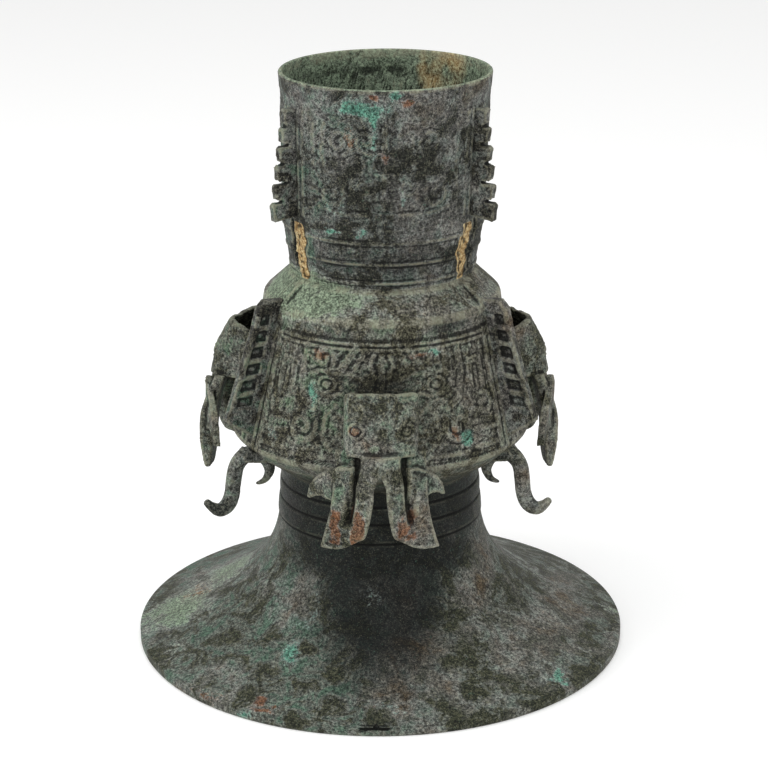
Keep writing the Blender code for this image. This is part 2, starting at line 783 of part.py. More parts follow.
def trunk(name, azimuth):
    """Curled trunk with a small claw beside it, hung under the belly's edge."""
    edge = BELLY_EDGE_RADIUS + TRUNK_SHIFTS[name]
    low = UNDERSIDE_END
    builder = bmesh.new()
    tube_along(builder, azimuth, [
        (edge + out * TRUNK_DROP, low + up * TRUNK_DROP, TRUNK_THICKNESS * thick)
        for out, up, thick in (
            (-0.226, 0.181, 1.0), (0.045, 0.145, 1.0), (0.241, -0.060, 1.0), (0.316, -0.377, 1.0),
            (0.355, -0.678, 1.0), (0.467, -0.919, 0.98), (0.663, -1.000, 0.86), (0.843, -0.880, 0.62),
            (0.994, -0.723, 0.42),
        )
    ])
    item = new_object("limb", builder)
    builder = bmesh.new()
    tube_along(builder, azimuth, [
        (edge + out * TRUNK_DROP, low + up * TRUNK_DROP, CLAW_THICKNESS * thick)
        for out, up, thick in (
            (-0.211, 0.151, 1.15), (-0.452, -0.045, 1.10), (-0.542, -0.301, 0.90),
            (-0.437, -0.512, 0.58), (-0.205, -0.566, 0.25),
        )
    ])
    combine(item, new_object("claw", builder), "UNION")
    builder = bmesh.new()
    half = TRUNK_ROOT_WIDTH / 2
    outline = [
        (edge + out * TRUNK_DROP, low + up * TRUNK_DROP)
        for out, up in (
            (-0.648, -0.151), (-0.120, -0.030), (0.120, 0.030), (0.196, 0.151), (0.120, 0.377),
            (-0.301, 0.422),
        )
    ]
    loft(builder, [
        [plane_point(azimuth, radius, height, -half) for radius, height in outline],
        [plane_point(azimuth, radius, height, half) for radius, height in outline],
    ])
    combine(item, new_object("root", builder), "UNION")
    combine(item, belly_cutter("trim", CLEARANCE), "DIFFERENCE")
    item.name = name
    return item


def bronze(name, color, roughness, metallic):
    """Material of a casting."""
    material = bpy.data.materials.new(name)
    material.use_nodes = True
    shader = material.node_tree.nodes["Principled BSDF"]
    shader.inputs["Base Color"].default_value = (*color, 1.0)
    shader.inputs["Roughness"].default_value = roughness
    shader.inputs["Metallic"].default_value = metallic
    return material


def finish(item, material):
    """Lean, material and smooth shading that keeps edges over 30 degrees sharp."""
    lean(item)
    item.data.name = item.name
    item.data.materials.clear()
    item.data.materials.append(material)
    item.data.shade_smooth()
    item.data.set_sharp_from_angle(angle=math.radians(30.0))


def main():
    """Clears the scene and builds the body's four nodes, the masks and the trunks."""
    for item in list(bpy.data.objects):
        bpy.data.objects.remove(item)
    for item in (foot(), wall_ring("neck", FOOT_JOINT, NECK_END), belly(), cup()):
        finish(item, bronze(item.name + "_bronze", (0.105, 0.115, 0.090), 0.62, 0.35))
    for name, azimuth in MASK_AZIMUTHS.items():
        finish(mask(name, azimuth), bronze(name + "_bronze", (0.110, 0.125, 0.095), 0.60, 0.35))
    for name, azimuth in TRUNK_AZIMUTHS.items():
        finish(trunk(name, azimuth), bronze(name + "_bronze", (0.075, 0.080, 0.068), 0.58, 0.40))


main()
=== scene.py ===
"""Looks of the bronze censer: cast relief, patina, earth and wear around the fixed frame.

Metres, +Z up. Azimuths are degrees about +Z, 0 at the front (-Y) and positive towards +X.
Relief patterns are drawn in millimetres on the unrolled wall between two flanges.
"""
import math

import bmesh
import bpy
import numpy as np
from mathutils import Matrix, Vector


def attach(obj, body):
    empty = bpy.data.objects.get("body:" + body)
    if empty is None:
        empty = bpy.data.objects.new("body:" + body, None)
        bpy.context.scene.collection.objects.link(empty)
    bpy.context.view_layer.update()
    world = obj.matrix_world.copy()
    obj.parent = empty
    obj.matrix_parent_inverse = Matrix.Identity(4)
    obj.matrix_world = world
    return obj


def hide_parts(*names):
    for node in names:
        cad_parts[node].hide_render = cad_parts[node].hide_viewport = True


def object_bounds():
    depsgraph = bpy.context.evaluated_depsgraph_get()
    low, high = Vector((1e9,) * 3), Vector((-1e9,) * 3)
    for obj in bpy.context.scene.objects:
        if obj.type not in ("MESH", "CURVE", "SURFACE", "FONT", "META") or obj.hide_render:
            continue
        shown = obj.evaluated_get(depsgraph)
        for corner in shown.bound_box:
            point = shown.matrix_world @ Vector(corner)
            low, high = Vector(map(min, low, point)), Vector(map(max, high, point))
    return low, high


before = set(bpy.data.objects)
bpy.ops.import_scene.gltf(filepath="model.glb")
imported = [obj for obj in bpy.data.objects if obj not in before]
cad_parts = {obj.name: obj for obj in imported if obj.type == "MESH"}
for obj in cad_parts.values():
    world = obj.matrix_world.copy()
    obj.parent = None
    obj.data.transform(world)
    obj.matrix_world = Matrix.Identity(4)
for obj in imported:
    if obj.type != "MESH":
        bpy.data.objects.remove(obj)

CAD_LOW, CAD_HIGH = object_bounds()

# Sizes of the body, as in the solids
FOOT_RADIUS = CAD_HIGH.x
RIM = CAD_HIGH.z
LIP_HEIGHT = 0.0065
LIP_WIDTH = 0.0060
FLARE_POWER = 3.8
WALL = 0.0030
NECK_RADIUS = 0.0720
NECK_END = 0.1340
RING_HEIGHTS = (0.0955, 0.1097, 0.1228)
RING_STEP = 0.0004
UNDERSIDE_RADIUS = 0.0970
UNDERSIDE_END = 0.1520
BELLY_EDGE_RADIUS = 0.1070
CHAMFER_END = 0.1620
BELLY_TOP_RADIUS = 0.0860
BELLY_END = 0.2490
SHOULDER_RADIUS = 0.0840
BAND_END = 0.2620
TUBE_BASE_RADIUS = 0.0650
SHOULDER_END = 0.2795
TUBE_WAIST_RADIUS = 0.0704
WAIST = 0.3155
PANEL_TOP_RADIUS = 0.0726
PANEL_TOP = 0.4020
RIM_RADIUS = 0.0739
RIM_WALL = 0.0024
LEAN = 0.0052
SECTOR = 120.0

# Flanges, windows and the slit in the lip
FLANGE_AZIMUTHS = (60.0, 180.0, 300.0)
FLANGE_NAMES = ("right", "back", "left")
FLANGE_THICKNESS = 0.0066
BELLY_FLANGE_TOP = 0.0165
BELLY_FLANGE_FOOT = 0.0240
FLANGE_CAP_RISE = 0.0060
FLANGE_CAP_SLANT = 0.0055
RUNG_COUNT = 6
RUNG_WIDTH = 0.0036
RAIL_WIDTH = 0.0038
INNER_RAIL = 0.0064
POCKET_DEPTH = 0.0027
TUBE_FLANGE_TOP = 0.0080
TUBE_FLANGE_FOOT = 0.0180
TOOTH_COUNT = 6
TOOTH_HEIGHT = 0.0102
TOOTH_GAP = 0.0028
TUBE_FLANGE_THICKNESS = 0.0068
WINDOW_AZIMUTHS = (56.5, 180.0, 303.5)
WINDOW_HALF_WIDTH = 0.0066
WINDOW_LOW = 0.2800
WINDOW_HIGH = 0.3220
SLIT_MIDDLE = -0.0034
SLIT_HALF_WIDTH = 0.0095
SLIT_HEIGHT = 0.0050
SLIT_DEPTH = 0.0032
SLIT_HALF_HEIGHT = 0.0011
SLIT_REACH = 0.004

# Unrolled relief: the radius of each field in millimetres, and how far it stands out
BELLY_RELIEF_RADIUS = 97.0
TUBE_RELIEF_RADIUS = 72.0
BELLY_RELIEF_GAIN = 1.25
TUBE_RELIEF_GAIN = 1.3

# Masks and trunks
MASK_AZIMUTHS = {"mask_front": 0.0, "mask_right": 120.0, "mask_left": 240.0}
MASK_EXTRA_HEIGHTS = {"mask_front": 0.0, "mask_right": 0.0045, "mask_left": 0.0040}
MASK_SHIFTS = {"mask_front": 0.0, "mask_right": 0.0005, "mask_left": 0.0025}
MASK_BOTTOM = 0.1830
MASK_HEIGHT = 0.0405
MASK_BROW = 0.54
MASK_HALF_WIDTH = 0.0250
MASK_REACH_TOP = 0.0260
MASK_REACH = 0.0298
MASK_SIDE_REACH = 0.0030
MASK_RIM_SLOPES = {"mask_front": 0.0105, "mask_right": 0.0060, "mask_left": 0.0060}
MASK_RIM_JAGS = {"mask_front": 0.0002, "mask_right": 0.0007, "mask_left": 0.0007}
MASK_WALL = 0.0036
MASK_CORNERS = {"mask_front": 0.0110, "mask_right": 0.0130, "mask_left": 0.0130}
HORN_LENGTH = 0.0690
HORN_THICKNESSES = {"mask_front": 0.0080, "mask_right": 0.0118, "mask_left": 0.0118}
HORN_TURN = 24.0
HORN_REACH = 0.0268
HORN_BULGE = 0.0169
TRUNK_AZIMUTHS = {"trunk_right": 60.0, "trunk_back": 180.0, "trunk_left": 300.0}
TRUNK_SHIFTS = {"trunk_right": -0.0016, "trunk_back": 0.0, "trunk_left": 0.0014}
TRUNK_THICKNESS = 0.0116
TRUNK_ROOT_HALF_WIDTH = 0.0062
EAR_DROOPS = {"mask_front": 1.0, "mask_right": 1.33, "mask_left": 1.33}
EAR_BEND = 0.60
EAR_BEND_START = 0.028
EAR_SMALL = 0.82
EAR_DEPTHS = (0.0022, 0.0076)

# An ear as (side, drop), and a trunk's lines from the belly's edge, in millimetres:
# the trunk as (radius, height, share of its thickness), the claw as (radius, height, thickness)
EAR_OUTLINE = (
    (20, 6), (29, 5), (37.5, -1), (44.5, -7.5), (49, -15), (51.4, -26.2), (48.2, -25.2), (45, -22.2),
    (40.5, -20.5), (33, -21.5), (20, -24),
)
TRUNK_LINE = (
    (-7.5, 5, 1.05), (1.5, 4.2, 1.02), (8, -2, 1), (10.5, -12.5, 0.99), (11.8, -22.5, 1),
    (15.5, -30.2, 0.99), (22, -32.8, 0.86), (28, -29, 0.62), (32.5, -24, 0.44),
)
CLAW_LINE = ((-7, 5, 10.4), (-15, -1.5, 9.8), (-18, -10, 8), (-14.5, -17, 5.2), (-7.2, -18.7, 2.6))
TRUNK_ROOT = ((-20.5, -4), (-4, -1), (3.6, 1), (5.8, 5), (1, 9.8), (-9, 4))

# Fineness of the meshes
BELLY_COLUMNS = 600
TUBE_COLUMNS = 440
FOOT_COLUMNS = 440
CAST_VOXEL = 0.00085

MM = 0.001


def mix(a, b, share):
    """Value a share of the way from a to b."""
    return a + (b - a) * share


def ease(low, high, value):
    """Smooth step from 0 at low to 1 at high."""
    share = np.clip((value - low) / (high - low), 0.0, 1.0)
    return share * share * (3.0 - 2.0 * share)


def direction(azimuth):
    """Unit vector on the floor plane at an azimuth in degrees."""
    angle = math.radians(azimuth)
    return Vector((math.sin(angle), -math.cos(angle), 0.0))


def plane_point(azimuth, radius, height, side=0.0):
    """Point in the upright plane at an azimuth, moved sideways to the right of a viewer facing it."""
    spot = direction(azimuth) * radius + direction(azimuth + 90.0) * side
    return Vector((spot.x, spot.y, height))


def leaned(points):
    """Points of an upright vessel moved to its slight lean above the neck."""
    share = np.clip((points[:, 2] - NECK_END) / (RIM - NECK_END), 0.0, None)
    points[:, 0] += LEAN * share
    return points


# Noise on arrays of points

def lattice(x, y, z, seed):
    """Repeatable random value from 0 to 1 for each whole-number place."""
    mixed = x * 73856093 ^ y * 19349663 ^ z * 83492791 ^ seed * 2654435
    mixed = mixed & 0xFFFFFFFF
    mixed = ((mixed ^ (mixed >> 15)) * 73244475) & 0xFFFFFFFF
    mixed = ((mixed ^ (mixed >> 13)) * 83492791) & 0xFFFFFFFF
    return ((mixed ^ (mixed >> 16)) & 0xFFFF) / 65535.0


def noise(points, size, seed):
    """Smooth value noise from 0 to 1 with features of a size."""
    places = points / size + 1000.0
    cells = np.floor(places).astype(np.int64)
    inside = places - cells
    inside = inside * inside * (3.0 - 2.0 * inside)
    total = np.zeros(len(points))
    for step_x in (0, 1):
        weight_x = inside[:, 0] if step_x else 1.0 - inside[:, 0]
        for step_y in (0, 1):
            weight_y = inside[:, 1] if step_y else 1.0 - inside[:, 1]
            for step_z in (0, 1):
                weight_z = inside[:, 2] if step_z else 1.0 - inside[:, 2]
                corner = lattice(cells[:, 0] + step_x, cells[:, 1] + step_y, cells[:, 2] + step_z, seed)
                total += corner * weight_x * weight_y * weight_z
    return total


def layered(points, size, octaves, seed):
    """Several octaves of noise, about -1 to 1."""
    total = np.zeros(len(points))
    share = 1.0
    whole = 0.0
    for octave in range(octaves):
        total += (noise(points, size / 2 ** octave, seed + octave * 17) - 0.5) * 2.0 * share
        whole += share
        share *= 0.55
    return total / whole


# Relief patterns in millimetres

def segment_distance(u, v, start, end):
    """Distance from points to a straight segment."""
    run = np.subtract(end, start)
    along = ((u - start[0]) * run[0] + (v - start[1]) * run[1]) / max(run @ run, 1e-9)
    along = np.clip(along, 0.0, 1.0)
    return np.hypot(u - start[0] - along * run[0], v - start[1] - along * run[1])


def path_distance(u, v, path):
    """Distance from points to a path of straight segments."""
    nearest = np.full(u.shape, 1e3)
    for start, end in zip(path, path[1:]):
        nearest = np.minimum(nearest, segment_distance(u, v, start, end))
    return nearest


def spiral(centre, outer, inner, start, turn, count=22):
    """Points of a spiral from its outer radius inwards; angles in degrees, turn may be negative."""
    points = []
    for index in range(count + 1):
        share = index / count
        angle = math.radians(start + turn * share)
        radius = mix(outer, inner, share)
        points.append((centre[0] + radius * math.cos(angle), centre[1] + radius * math.sin(angle)))
    return points


def plateau(distance, width, edge=0.55):
    """1 on a band round a path, falling to 0 over a soft edge."""
    return 1.0 - ease(width / 2 - edge, width / 2 + edge, distance)


def thunder(u, v, cell, turns, seed):
    """Ground of squared spirals, one to each cell, turned at random; from 0 to 1."""
    row = np.floor(v / cell)
    shifted = u / cell + 0.5 * (row % 2)
    column = np.floor(shifted)
    p = (shifted - column) * 2.0 - 1.0
    q = (v / cell - row) * 2.0 - 1.0
    pick = lattice(column.astype(np.int64), row.astype(np.int64), np.zeros(u.shape, np.int64), seed)
    p = np.where(pick > 0.5, p, -p)
    q = np.where((pick * 4.0) % 1.0 > 0.5, q, -q)
    ring = np.maximum(np.abs(p), np.abs(q)) + 1e-6
    angle = np.arctan2(q, p) / (2.0 * math.pi)
    wave = np.cos(2.0 * math.pi * (ring * turns - angle))
    return ease(-0.5, 0.5, wave) * (1.0 - ease(0.93, 1.0, ring))


def figures(u, v, paths):
    """Height of raised bands, each with a line cut along its middle; from 0 to 1."""
    height = np.zeros(u.shape)
    for path, width in paths:
        distance = path_distance(u, v, path)
        band = plateau(distance, width) * (1.0 - 0.5 * plateau(distance, width * 0.22, 0.3))
        height = np.maximum(height, band)
    return height


def eye(u, v, centre, half_width, half_height):
    """Oval eye: a raised ring, a gap and a domed ball; from 0 to 1.3."""
    reach = np.hypot((u - centre[0]) / half_width, (v - centre[1]) / half_height)
    ball = np.sqrt(np.clip(1.0 - (reach / 0.62) ** 2, 0.0, 1.0)) * 1.3
    ring = np.clip(1.0 - np.abs(reach - 0.98) / 0.22, 0.0, 1.0)
    return np.maximum(ball, ease(0.0, 1.0, ring))


def third(azimuth, radius):
    """Distances across the unrolled wall from each third's middle, the thirds' numbers and half a width."""
    turned = (azimuth + SECTOR / 2) % SECTOR - SECTOR / 2
    number = np.floor((azimuth + SECTOR / 2) / SECTOR)
    return np.radians(turned) * radius, number, math.radians(SECTOR / 2) * radius


def grooved_border(side, middle, width, groove_middle, groove):
    """Raised upright border with a groove along it, from 0 to 1."""
    band = plateau(np.abs(side - middle), width)
    return band * (1.0 - 0.6 * plateau(np.abs(side - groove_middle), groove, 0.35))


def belly_relief(azimuth, height):
    """Height of the belly's relief in metres: an animal face in each third, on squared spirals."""
    u, sector, edge = third(azimuth, BELLY_RELIEF_RADIUS)
    v = (height - CHAMFER_END) / MM
    side = np.abs(u)
    panel = (BELLY_END - CHAMFER_END) / MM
    ground = thunder(u + sector * 7.0, v, 7.6, 1.6, 5)
    paths = [
        (spiral((44.0, 74.5), 8.6, 2.4, -130.0, -430.0), 3.4),
        ([(20.0, 83.0), (25.0, 76.0), (30.5, 67.5), (40.0, 66.0)], 4.4),
        ([(12.5, 83.0), (16.0, 76.0), (20.0, 69.0)], 2.6),
        ([(14.0, 62.5), (22.0, 66.0), (32.0, 65.5), (46.0, 66.5), (54.0, 63.0)], 2.6),
        ([(28.0, 52.5), (36.0, 50.0), (46.0, 51.5), (52.0, 57.0)], 2.2),
        ([(60.0, 82.0), (61.0, 62.0), (57.0, 46.0), (48.0, 41.0)], 4.6),
        ([(69.0, 52.0), (69.5, 69.0), (80.0, 69.0), (80.5, 50.0)], 4.2),
        ([(74.8, 62.0), (75.0, 50.0)], 2.4),
        (spiral((79.0, 37.5), 8.0, 2.2, 100.0, -400.0), 3.2),
        (spiral((55.0, 27.0), 11.0, 3.0, 160.0, 420.0), 3.8),
        ([(32.0, 44.0), (38.0, 37.0), (40.0, 24.0), (33.0, 14.0)], 3.6),
        ([(68.0, 22.0), (90.0, 20.0), (91.0, 9.0), (68.0, 10.0)], 3.2),
        ([(33.0, 9.0), (60.0, 8.0)], 3.0),
        ([(0.0, 50.0), (0.0, 78.0)], 4.0),
        ([(5.0, 64.0), (8.5, 72.0), (5.5, 79.0)], 2.2),
    ]
    raised = figures(side, v, paths)
    raised = np.maximum(raised, eye(side, v, (40.0, 57.5), 6.6, 5.0))
    raised = np.maximum(raised, grooved_border(side, edge - 8.2, 11.0, edge - 7.6, 1.3))
    for level, width in ((panel - 1.4, 1.9), (panel - 4.9, 1.7), (2.0, 2.0)):
        raised = np.maximum(raised, plateau(np.abs(v - level), width, 0.4))
    inside = ease(-1.0, 1.0, v) * (1.0 - ease(panel - 0.4, panel + 1.2, v))
    return (raised + (1.0 - ease(0.0, 0.6, raised)) * ground * 0.46 - 0.2) * inside * MM


def tube_relief(azimuth, height):
    """Height of the tube's relief in metres: a finer face in each third, and the raised lines below."""
    u, sector, edge = third(azimuth, TUBE_RELIEF_RADIUS)
    v = (height - WAIST) / MM
    side = np.abs(u)
    low = 11.5
    high = 86.0
    ground = thunder(u + sector * 5.0, v, 7.0, 1.5, 9)
    paths = [
        (spiral((32.0, 68.0), 9.0, 2.4, -140.0, -430.0), 3.0),
        (spiral((13.0, 70.0), 7.0, 2.0, -60.0, 380.0), 2.6),
        ([(10.0, 60.5), (19.0, 64.0), (30.0, 58.5)], 2.2),
        ([(44.0, 80.0), (46.0, 60.0), (42.0, 46.0), (34.0, 42.0)], 3.4),
        ([(53.0, 78.0), (53.5, 60.0)], 3.4),
        ([(53.0, 52.0), (54.0, 34.0)], 3.4),
        (spiral((38.0, 32.0), 10.0, 2.6, 150.0, 420.0), 3.0),
        (spiral((16.0, 38.0), 7.5, 2.2, 40.0, -380.0), 2.6),
        ([(48.0, 22.0), (28.0, 18.0), (12.0, 19.0)], 2.8),
        ([(0.0, 24.0), (0.0, 78.0)], 3.4),
    ]
    raised = figures(side, v, paths)
    raised = np.maximum(raised, eye(side, v, (20.0, 54.5), 6.0, 4.2))
    raised = np.maximum(raised, grooved_border(side, edge - 9.5, 8.5, edge - 9.0, 1.2))
    panel = ease(low - 0.8, low + 0.8, v) * (1.0 - ease(high - 0.8, high + 0.8, v))
    carved = (raised * 0.62 + (1.0 - ease(0.0, 0.6, raised)) * ground * 0.36 - 0.1) * panel
    below = 1.0 - ease(low - 0.8, low + 0.8, v)
    rings = np.zeros(u.shape)
    for level in (-1.5, -16.5, -30.5):
        rings = np.maximum(rings, plateau(np.abs(v - level), 1.9, 0.5))
    fret = thunder(u, v + 3.0, 6.2, 1.4, 13) * ease(-15.0, -14.0, v) * (1.0 - ease(-4.0, -3.0, v))
    worn = (rings * 0.9 + fret * 0.32) * below
    brim = ease(high + 6.0, high + 8.5, v)
    return (carved + worn + brim * 0.35) * MM


def window_depth(azimuth, height):
    """Depth of the pierced windows, filled with earth, and of the slot beside each, painted black as shade;
    in metres.
    """
    depth = np.zeros(azimuth.shape)
    fill = np.zeros(azimuth.shape)
    dark = np.zeros(azimuth.shape)
    share = (height - WINDOW_LOW) / (WINDOW_HIGH - WINDOW_LOW)
    for index, middle in enumerate(WINDOW_AZIMUTHS):
        outward = (1.0, 1.0, -1.0)[index]
        turned = (azimuth - middle + 180.0) % 360.0 - 180.0
        side = np.radians(turned) * 0.069 * outward
        wander = 0.0016 * np.sin(share * 9.0 + index * 2.0) + 0.0008 * np.sin(share * 23.0 + index)
        width = WINDOW_HALF_WIDTH * (0.62 + 0.38 * np.sin(np.clip(share, 0.0, 1.0) * math.pi * 0.9))
        inside = ease(0.0008, -0.0008, np.abs(side + 0.0012 - wander) - width)
        inside = inside * ease(-0.02, 0.05, share) * (1.0 - ease(0.93, 1.02, share))
        slot = ease(0.0006, -0.0006, np.abs(side - 0.0078 - wander * 0.6) - 0.0017)
        slot = slot * ease(0.12, 0.20, share) * (1.0 - ease(0.95, 1.04, share))
        depth = np.maximum(depth, inside * 0.0011)
        depth = np.maximum(depth, slot * 0.0021)
        fill = np.maximum(fill, inside * (1.0 - slot))
        dark = np.maximum(dark, slot)
    return depth, fill, dark


# Profiles of the body

def flare(height):
    """Outer radius of the trumpet foot at a height above its lip."""
    top = NECK_END + WALL
    share = max(0.0, (top - height) / (top - LIP_HEIGHT))
    return NECK_RADIUS + (FOOT_RADIUS - NECK_RADIUS) * share ** FLARE_POWER


def fine_line(points, step):
    """Outline with its stretches parted into steps no longer than the given one."""
    line = [points[0]]
    for start, end in zip(points, points[1:]):
        length = math.dist(start, end)
        count = max(1, math.ceil(length / step))
        for index in range(1, count + 1):
            line.append((mix(start[0], end[0], index / count), mix(start[1], end[1], index / count)))
    return line


BELLY_LINE = (
    (NECK_RADIUS, NECK_END), (UNDERSIDE_RADIUS, UNDERSIDE_END), (BELLY_EDGE_RADIUS, CHAMFER_END),
    (BELLY_TOP_RADIUS, BELLY_END), (SHOULDER_RADIUS, BAND_END), (TUBE_BASE_RADIUS, SHOULDER_END),
)
TUBE_LINE = (
    (TUBE_BASE_RADIUS, SHOULDER_END), (TUBE_WAIST_RADIUS, WAIST),
    (PANEL_TOP_RADIUS, PANEL_TOP), (RIM_RADIUS, RIM - 0.0004),
)


def wall_radius(height):
    """Outer radius of the body above the neck."""
    line = BELLY_LINE + TUBE_LINE[1:]
    return float(np.interp(height, [point[1] for point in line], [point[0] for point in line]))


# Meshes

def mesh_object(name, points, faces):
    """Smooth-shaded object from arrays of points and faces."""
    mesh = bpy.data.meshes.new(name)
    mesh.from_pydata(np.asarray(points).tolist(), [], faces)
    mesh.update()
    mesh.shade_smooth()
    item = bpy.data.objects.new(name, mesh)
    bpy.context.scene.collection.objects.link(item)
    return item


def turned_piece(name, outline, columns, lift, poles=False):
    """Closed turned solid from an outline, moved along its normal by lift(azimuth, height, radius)."""
    line = np.array([point[:2] for point in outline])
    shown = np.array([point[2] for point in outline])
    before = np.roll(line, 1, axis=0)
    after = np.roll(line, -1, axis=0)
    along = after - before
    along /= np.maximum(np.linalg.norm(along, axis=1, keepdims=True), 1e-9)
    normal = np.stack([along[:, 1], -along[:, 0]], axis=1)
    azimuth = np.arange(columns) * 360.0 / columns
    rows = len(line)
    height = np.repeat(line[:, 1], columns)
    radius = np.repeat(line[:, 0], columns)
    turn = np.tile(azimuth, rows)
    move = lift(turn, height, radius) * np.repeat(shown, columns)
    radius = radius + move * np.repeat(normal[:, 0], columns)
    height = height + move * np.repeat(normal[:, 1], columns)
    points = np.stack([radius * np.sin(np.radians(turn)), -radius * np.cos(np.radians(turn)), height], axis=1)
    base = np.arange(columns)
    following = np.roll(base, -1)
    faces = []
    for row in range(rows - 1 if poles else rows):
        low = base + row * columns
        low_next = following + row * columns
        high = base + (row + 1) % rows * columns
        high_next = following + (row + 1) % rows * columns
        faces.extend(np.stack([low, low_next, high_next, high], axis=1).tolist())
    if poles:
        first = len(points)
        points = np.vstack([points, [[0.0, 0.0, line[0, 1]], [0.0, 0.0, line[-1, 1]]]])
        last_row = (rows - 1) * columns
        faces.extend([[first, following[i], base[i]] for i in range(columns)])
        faces.extend([[first + 1, last_row + base[i], last_row + following[i]] for i in range(columns)])
    return mesh_object(name, leaned(points), faces)


def mesh_arrays(mesh):
    """Places, normals and edges of a mesh as arrays."""
    count = len(mesh.vertices)
    points = np.empty(count * 3)
    mesh.vertices.foreach_get("co", points)
    normals = np.empty(count * 3, np.float32)
    mesh.vertex_normals.foreach_get("vector", normals)
    edges = np.empty(len(mesh.edges) * 2, np.int32)
    mesh.edges.foreach_get("vertices", edges)
    return points.reshape(-1, 3), normals.reshape(-1, 3).astype(float), edges.reshape(-1, 2)


def neighbour_mean(values, edges, count):
    """Mean of each point's neighbours."""
    total = np.zeros((count,) + values.shape[1:])
    shares = np.bincount(edges.ravel(), minlength=count).astype(float)
    for start, end in ((0, 1), (1, 0)):
        for axis in range(values.shape[1]):
            total[:, axis] += np.bincount(edges[:, start], values[edges[:, end], axis], minlength=count)
    return total / np.maximum(shares, 1.0)[:, None]


def hollowness(mesh):
    """How far each point lies in a hollow, -1 on a sharp ridge to 1 in a deep groove."""
    points, normals, edges = mesh_arrays(mesh)
    count = len(points)
    around = points
    for _ in range(3):
        around = neighbour_mean(around, edges, count)
    depth = ((around - points) * normals).sum(axis=1)
    depth = neighbour_mean(depth[:, None], edges, count)[:, 0]
    return np.clip(depth / (0.16 * MM), -1.0, 1.0)


def fused(name, builders, voxel=CAST_VOXEL, soften=2):
    """One casting fused from closed solids, with its edges softened."""
    shapes = bmesh.new()
    for builder in builders:
        bmesh.ops.recalc_face_normals(builder, faces=builder.faces)
        part = bpy.data.meshes.new("part")
        builder.to_mesh(part)
        builder.free()
        shapes.from_mesh(part)
        bpy.data.meshes.remove(part)
    mesh = bpy.data.meshes.new(name)
    shapes.to_mesh(mesh)
    shapes.free()
    item = bpy.data.objects.new(name, mesh)
    bpy.context.scene.collection.objects.link(item)
    remesh = item.modifiers.new("Remesh", "REMESH")
    remesh.mode = "VOXEL"
    remesh.voxel_size = voxel
    remesh.adaptivity = 0.0
    bpy.context.view_layer.update()
    evaluated = item.evaluated_get(bpy.context.evaluated_depsgraph_get())
    result = bpy.data.meshes.new_from_object(evaluated)
    item.modifiers.clear()
    item.data = result
    bpy.data.meshes.remove(mesh)
    result.name = name
    points, _, edges = mesh_arrays(result)
    for _ in range(soften):
        points = points + (neighbour_mean(points, edges, len(points)) - points) * 0.6
    result.vertices.foreach_set("co", points.ravel())
    result.update()
    result.shade_smooth()
    return item


def roughen(item, amount, seed, extra=None):
    """Cast and corroded skin: points moved along their normals by noise, and by extra(points, normals)."""
    points, normals, _ = mesh_arrays(item.data)
    move = layered(points, 7.0 * MM, 4, seed) * amount
    move += layered(points, 1.6 * MM, 2, seed + 5) * amount * 0.4
    if extra is not None:
        move += extra(points, normals)
    points = points + normals * move[:, None]
    item.data.vertices.foreach_set("co", points.ravel())
    item.data.update()


def skin(points, amount, seed):
    """Uneven cast skin with lumps of corrosion and pits, in metres."""
    lumps = layered(points, 9.0 * MM, 4, seed)
    crust = np.clip(layered(points, 3.2 * MM, 3, seed + 3) - 0.18, 0.0, 1.0)
    pits = np.clip(layered(points, 2.4 * MM, 2, seed + 7) - 0.42, 0.0, 1.0)
    return (lumps * 0.45 + crust * 1.5 - pits * 2.2) * amount


def wall_places(azimuth, height, radius):
    """Points on the upright wall, for noise."""
    angle = np.radians(azimuth)
    return np.stack([radius * np.sin(angle), -radius * np.cos(angle), height], axis=1)


def strip(builder, low, high, closed=False):
    """Four-sided faces between two rows of points."""
    count = len(low)
    faces = []
    for index in range(count if closed else count - 1):
        after = (index + 1) % count
        faces.append(builder.faces.new((low[index], low[after], high[after], high[index])))
    return faces


def raw_loft(sections):
    """Closed solid through sections of equal length, capped at both ends, as a bmesh."""
    builder = bmesh.new()
    rows = [[builder.verts.new(point) for point in section] for section in sections]
    for low, high in zip(rows, rows[1:]):
        strip(builder, low, high, closed=True)
    builder.faces.new(rows[0])
    builder.faces.new(list(reversed(rows[-1])))
    bmesh.ops.triangulate(builder, faces=[face for face in builder.faces if len(face.verts) > 4])
    return builder


# The body

def neck_lift(azimuth, height, radius):
    """Bow-string lines round the neck, the slit through the lip and the foot's skin."""
    places = wall_places(azimuth, height, radius)
    move = skin(places, 0.16 * MM, 31) * mix(1.0, 0.45, ease(0.075, 0.100, height))
    rings = len(RING_HEIGHTS)
    wobble = 0.5 * MM * np.sin(np.radians(azimuth) * 2.0 + 0.7)
    for index, level in enumerate(RING_HEIGHTS):
        top = RING_HEIGHTS[index + 1] if index < rings - 1 else NECK_END
        inside = ease(level - 0.0004, level + 0.0004, height - wobble) * (height - wobble < top)
        share = np.clip((height - wobble - level) / (top - level), 0.0, 1.0)
        crown = np.sin(share * math.pi) * 0.35 * MM if index < rings - 1 else 0.0
        move = move + inside * (RING_STEP * (rings - 1 - index) + crown)
        groove = np.exp(-((height - wobble - level) / (0.75 * MM)) ** 2)
        move = move - groove * 0.95 * MM
    turned = (azimuth + 180.0) % 360.0 - 180.0
    side = np.radians(turned) * FOOT_RADIUS - SLIT_MIDDLE
    arch = SLIT_HEIGHT + 0.0006 - np.abs(side) * 0.07
    slit = (np.abs(side) < SLIT_HALF_WIDTH) & (np.abs(height - arch) < SLIT_HALF_HEIGHT)
    slit = slit & (radius > FOOT_RADIUS - SLIT_REACH)
    return move - slit * SLIT_DEPTH


